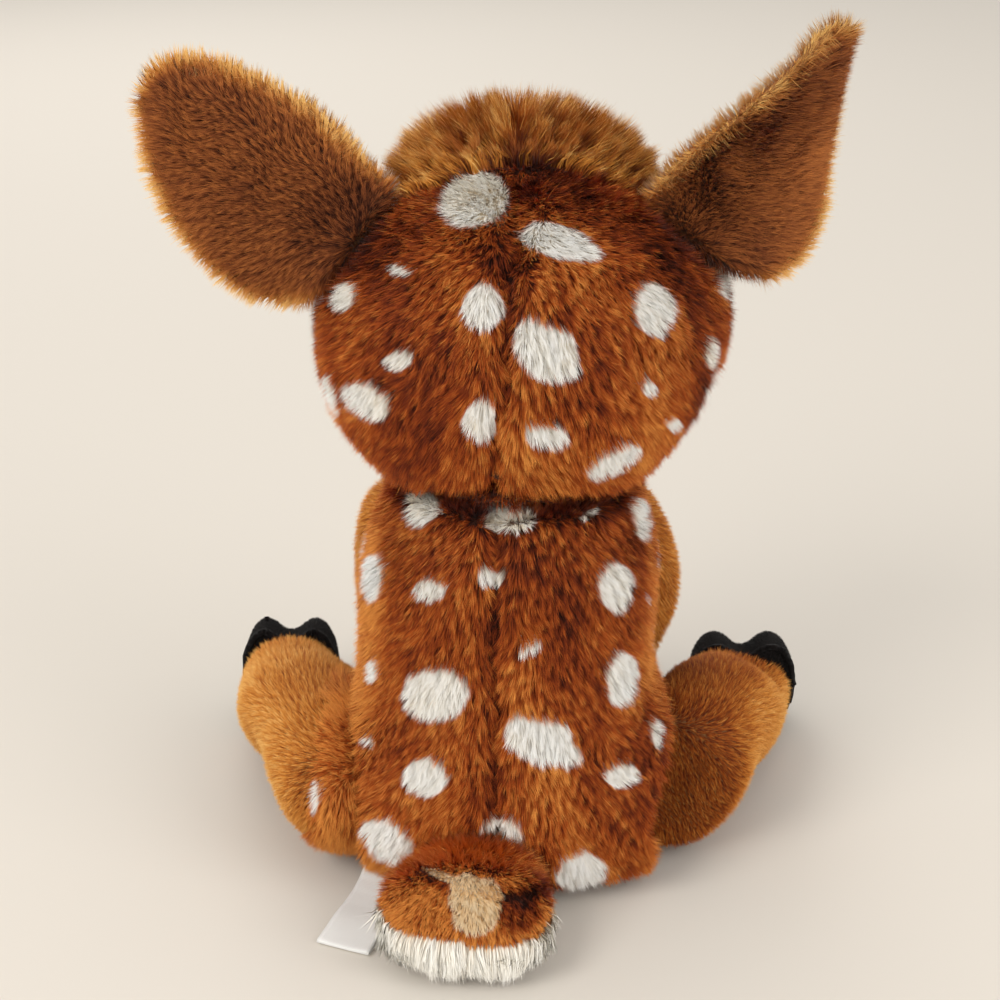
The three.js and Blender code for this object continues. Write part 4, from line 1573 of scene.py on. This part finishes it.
# Face: domed eyes on shanks, the nose and a stitched mouth
def risenPiece(name, profile, corners=40):  # rings raised one by one from a disc, then closed
    bpy.ops.object.select_all(action="DESELECT")
    radius, height = profile[0]
    bpy.ops.mesh.primitive_circle_add(vertices=corners, radius=radius, fill_type="NGON", location=(0, 0, 0))
    piece = bpy.context.object
    piece.name = piece.data.name = name
    bpy.ops.object.mode_set(mode="EDIT")
    bpy.ops.mesh.select_all(action="SELECT")
    bpy.ops.transform.translate(value=(0, 0, height))
    for nextRadius, nextHeight in profile[1:]:
        bpy.ops.mesh.extrude_region_move(TRANSFORM_OT_translate={"value": (0, 0, nextHeight - height)})
        share = nextRadius / radius
        bpy.ops.transform.resize(value=(share, share, 1), center_override=(0, 0, nextHeight))
        radius, height = nextRadius, nextHeight
    bpy.ops.mesh.select_all(action="SELECT")
    bpy.ops.mesh.remove_doubles(threshold=1e-6)
    bpy.ops.mesh.normals_make_consistent(inside=False)
    bpy.ops.object.mode_set(mode="OBJECT")
    bpy.ops.object.shade_smooth_by_angle(angle=math.radians(40))
    return piece


eye = {
    "radius": 7.5 * mm,
    "dome": 4.5 * mm,
    "rim": 1.0 * mm,  # straight edge below the dome
    "shank": 2 * mm,
    "shankLength": 12 * mm,
    "pupil": 0.7,  # share of the radius
}


def eyeMaterial():
    material, tree, shader = newMaterial("glossy brown eye")
    reach = attributeNode(tree, "fromAxis").outputs["Fac"]
    ragged = calculate(tree, "ADD", reach, calculate(tree, "MULTIPLY", cloud(tree, 900, 2), 0.1))
    pupil = eye["pupil"]
    stops = [(pupil, (6, 4, 3)), (pupil + 0.05, (40, 18, 7)), (0.88, (70, 34, 12)), (0.98, (12, 7, 5))]
    values = {"Roughness": 0.12, "Specular IOR Level": 0.05, "Coat Weight": 0.25, "Coat Roughness": 0.03}
    applyFinish(tree, shader, colourRamp(tree, ragged, stops), values)
    return material


def nodePoints(name):
    return np.array([vert.co for vert in nodes[name].data.vertices])


def makeEyes():
    material = eyeMaterial()
    for side in ("left", "right"):
        points = np.unique(np.round(nodePoints(f"eye_{side}"), 7), axis=0)
        washer = np.unique(np.round(nodePoints(f"eye_washer_{side}"), 7), axis=0)
        out = Vector(unit(points.mean(axis=0) - washer.mean(axis=0)))
        middle = Vector(points.mean(axis=0))
        top = max((Vector(point) - middle).dot(out) for point in points)
        seat = middle + out * (top - eye["dome"])
        bend = [math.radians(angle) for angle in range(0, 89, 8)]
        rise = eye["dome"] - eye["rim"]
        dome = [(eye["radius"] * math.cos(turn), eye["rim"] + rise * math.sin(turn)) for turn in bend]
        foot = [(eye["shank"], -eye["shankLength"]), (eye["shank"], 0), (eye["radius"] * 0.96, 0)]
        piece = risenPiece(f"eye_{side}_dome", [*foot, *dome])
        reach = np.linalg.norm(coordinates(piece.data)[:, :2], axis=1) / eye["radius"]
        setAttribute(piece.data, "fromAxis", reach.astype(np.float32))
        piece.data.transform(out.to_track_quat("Z", "Y").to_matrix().to_4x4())
        piece.data.transform(Matrix.Translation(seat))
        dressPiece(piece, material, "head", "eye_plastic", f"eye_{side}")


def cloudyRamp(tree, source, colour, shade):  # from a darker shade of a colour up to it
    return colourRamp(tree, source, [(0.3, tuple(value * shade for value in colour)), (0.7, colour)])


def plasticMaterial(name, colour):
    material, tree, shader = newMaterial(name)
    applyFinish(tree, shader, cloudyRamp(tree, cloud(tree, 400, 3), colour, 0.92), {"Roughness": 0.45})
    return material


mouth = {"drop": 11, "spread": 13, "thread": 0.9}  # mm


def threadMaterial():
    material, tree, shader = newMaterial("brown thread")
    twist = attributeNode(tree, "twist").outputs["Fac"]
    ridge = calculate(tree, "SINE", twist)
    colour = colourRamp(tree, ridge, [(0, (24, 14, 10)), (1, (70, 44, 30))])
    applyFinish(tree, shader, colour, {"Roughness": 0.7}, (ridge, 0.7, 0.3 * mm))
    return material


def makeMouth():
    low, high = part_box("nose")
    x, y, z = (low + high) / 2 / mm
    fork = Vector((x, y + 2.6, z - mouth["drop"]))
    run = mouth["spread"]
    lines = [[Vector((x, y + 0.6, z - 6)), Vector((x, y + 1.1, z + 2 - mouth["drop"])), fork]]
    for way in (-1, 1):
        corner = Vector((x + way * run, y + 10.2, z - mouth["drop"] - 0.5))
        bow = Vector((x + way * run * 0.7, y + 6.2, z - mouth["drop"] - 2.6))
        dip = Vector((x + way * run * 0.3, y + 3.2, z - mouth["drop"] - 1.9))
        lines.append([corner, bow, dip, fork])
    curve = bpy.data.curves.new("mouth_thread", "CURVE")
    curve.dimensions = "3D"
    for line in lines:
        spline = curve.splines.new("NURBS")
        spline.points.add(len(line) - 1)
        for point, place in zip(spline.points, line):
            point.co = (*(place * mm), 1)
        spline.use_endpoint_u = True
        spline.order_u = 3
        spline.resolution_u = 12
    curve.bevel_depth = mouth["thread"] * mm
    curve.bevel_resolution = 3
    curve.use_fill_caps = True
    holder = bpy.data.objects.new("mouth_thread", curve)
    bpy.context.scene.collection.objects.link(holder)
    select(holder)
    bpy.ops.object.convert(target="MESH")
    piece = bpy.context.object
    points = coordinates(piece.data)
    along = (points[:, 0] * 1.0 + points[:, 2] * 1.3) / mm * 2.4
    setAttribute(piece.data, "twist", along.astype(np.float32))
    dressPiece(piece, threadMaterial(), "head", "thread", "mouth_stitch")


makeEyes()
makeMouth()
washerPlastic = plasticMaterial("washer plastic", (228, 226, 218))
for side in ("left", "right"):
    nodes[f"eye_washer_{side}"].data.materials.clear()
    nodes[f"eye_washer_{side}"].data.materials.append(washerPlastic)

# Label: a satin ribbon folded double and sewn in at the base, left bare
label = {
    "root": (35, 39.5),  # mm from the toy's middle line
    "towards": (0.36, 0.93),
    "length": 37,
    "width": 17.5,
    "gap": 0.75,  # between the two layers at the fold
    "cloth": 0.18,
    "steps": 72,
    "rows": 12,
}


def labelRun():  # side view of the ribbon in mm: out along the floor, round the fold and back
    out = [(0, 5.2), (3, 3.9), (6, 2.3), (10, 1.1), (15, 0.55)]
    end = label["length"]
    lower = out + [(22, 0.35), (30, 0.3), (end - 0.5, 0.3)]
    turn = [(end - 0.1, 0.45), (end, 0.3 + label["gap"] / 2), (end - 0.1, 0.2 + label["gap"])]
    upper = [(end - 0.6, 0.35 + label["gap"]), (31, 1.5), (24, 1.75), (17, 1.7), (11, 2.1), (6, 3.3)]
    return lower + turn + upper + [(3, 4.9), (0, 6.1)]


def satinMaterial():
    material, tree, shader = newMaterial("white satin")
    place = addNode(tree, "ShaderNodeUVMap", uv_map="ribbon").outputs["UV"]
    warp = addNode(tree, "ShaderNodeTexWave", {"Scale": 46, "Distortion": 0.6}, {"Vector": place})
    weft = addNode(
        tree, "ShaderNodeTexWave", {"Scale": 150, "Distortion": 0.4}, {"Vector": place}, bands_direction="Y"
    )
    weave = calculate(tree, "ADD", warp.outputs[1], weft.outputs[1])
    colour = colourRamp(tree, weave, [(0.2, (226, 225, 222)), (1, (246, 245, 242))])
    values = {"Roughness": 0.38, "Sheen Weight": 0.2}
    applyFinish(tree, shader, colour, values, (weave, 0.25, 0.1 * mm))
    return material


def makeLabel():
    run = np.array(labelRun()) * mm
    reach = np.concatenate([[0], np.cumsum(np.linalg.norm(np.diff(run, axis=0), axis=1))])
    bpy.ops.object.select_all(action="DESELECT")
    bpy.ops.mesh.primitive_grid_add(
        x_subdivisions=label["steps"], y_subdivisions=label["rows"], size=1, location=(0, 0, 0)
    )
    piece = bpy.context.object
    piece.name = piece.data.name = "sewn_label_ribbon"
    layer = piece.data.uv_layers[0]
    layer.name = "ribbon"
    grid = coordinates(piece.data)
    distance = (grid[:, 0] + 0.5) * reach[-1]
    out = np.interp(distance, reach, run[:, 0])
    rise = np.interp(distance, reach, run[:, 1])
    across = grid[:, 1] * label["width"] * mm
    curl = np.where(distance > reach[-1] / 2, 1, 0.2) * smoothStep(4 * mm, 30 * mm, out)
    rise = rise + curl * (0.5 * mm * (2 * grid[:, 1]) ** 2 + 0.18 * mm * np.sin(out / mm * 0.32 + 0.8))
    towards = Vector((*label["towards"], 0)).normalized()
    side = Vector((0, 0, 1)).cross(towards)
    start = at(*label["root"], 0)
    points = np.array(start) + out[:, None] * np.array(towards) + across[:, None] * np.array(side)
    points[:, 2] = rise
    placePoints(piece.data, points)
    thick = piece.modifiers.new("cloth", "SOLIDIFY")
    thick.thickness = label["cloth"] * mm
    thick.offset = 0
    applyModifiers(piece)
    shadeSmooth(piece)
    dressPiece(piece, satinMaterial(), "torso", "satin", "sewn_label")


makeLabel()


# Filling, pellets and neck
def fibreMaterial(name, colour, scale):
    material, tree, shader = newMaterial(name)
    strands = cloud(tree, scale, 6)
    shade = cloudyRamp(tree, strands, colour, 0.75)
    applyFinish(tree, shader, shade, {"Roughness": 0.95}, (strands, 0.8, 1 * mm))
    return material


filling = {"voxel": 4 * mm, "smoothing": 14, "depth": 2.2 * mm}
limbFilling = {"voxel": 2.5 * mm, "smoothing": 10, "depth": 3.2 * mm}
fibre = fibreMaterial("polyester fibre", (240, 239, 234), 260)
cotton = fibreMaterial("cotton bag", (214, 205, 190), 900)
fillings = {
    "torso": {**filling, "pushes": torso["pushes"]},
    "neck": {**neck, "shrink": neck["fillingSize"]},
    "head": {**filling, "pushes": head["pushes"]},
    "tail": limbFilling,
    "front_leg_left": limbFilling,
    "front_leg_right": limbFilling,
    "hind_leg_left": {**limbFilling, "pushes": hindLegs["pushes"]["left"]},
    "hind_leg_right": {**limbFilling, "pushes": hindLegs["pushes"]["right"]},
}
for body, plan in fillings.items():
    roundedPart(f"{body}_stuffing", f"{body}_filling", body, "fibre", fibre, plan)
roundedPart("pellet_bag", "pellet_bag_cloth", "torso", "cotton", cotton, limbFilling)

nosePlan = {"voxel": 0.9 * mm, "smoothing": 4, "depth": 0, "subdivide": True}
roundedPart("nose", "nose_velour", "head", "black_velour", velour, nosePlan)


for piece in [item for item in bpy.data.objects if item.name.endswith(" form")]:
    drop(piece)
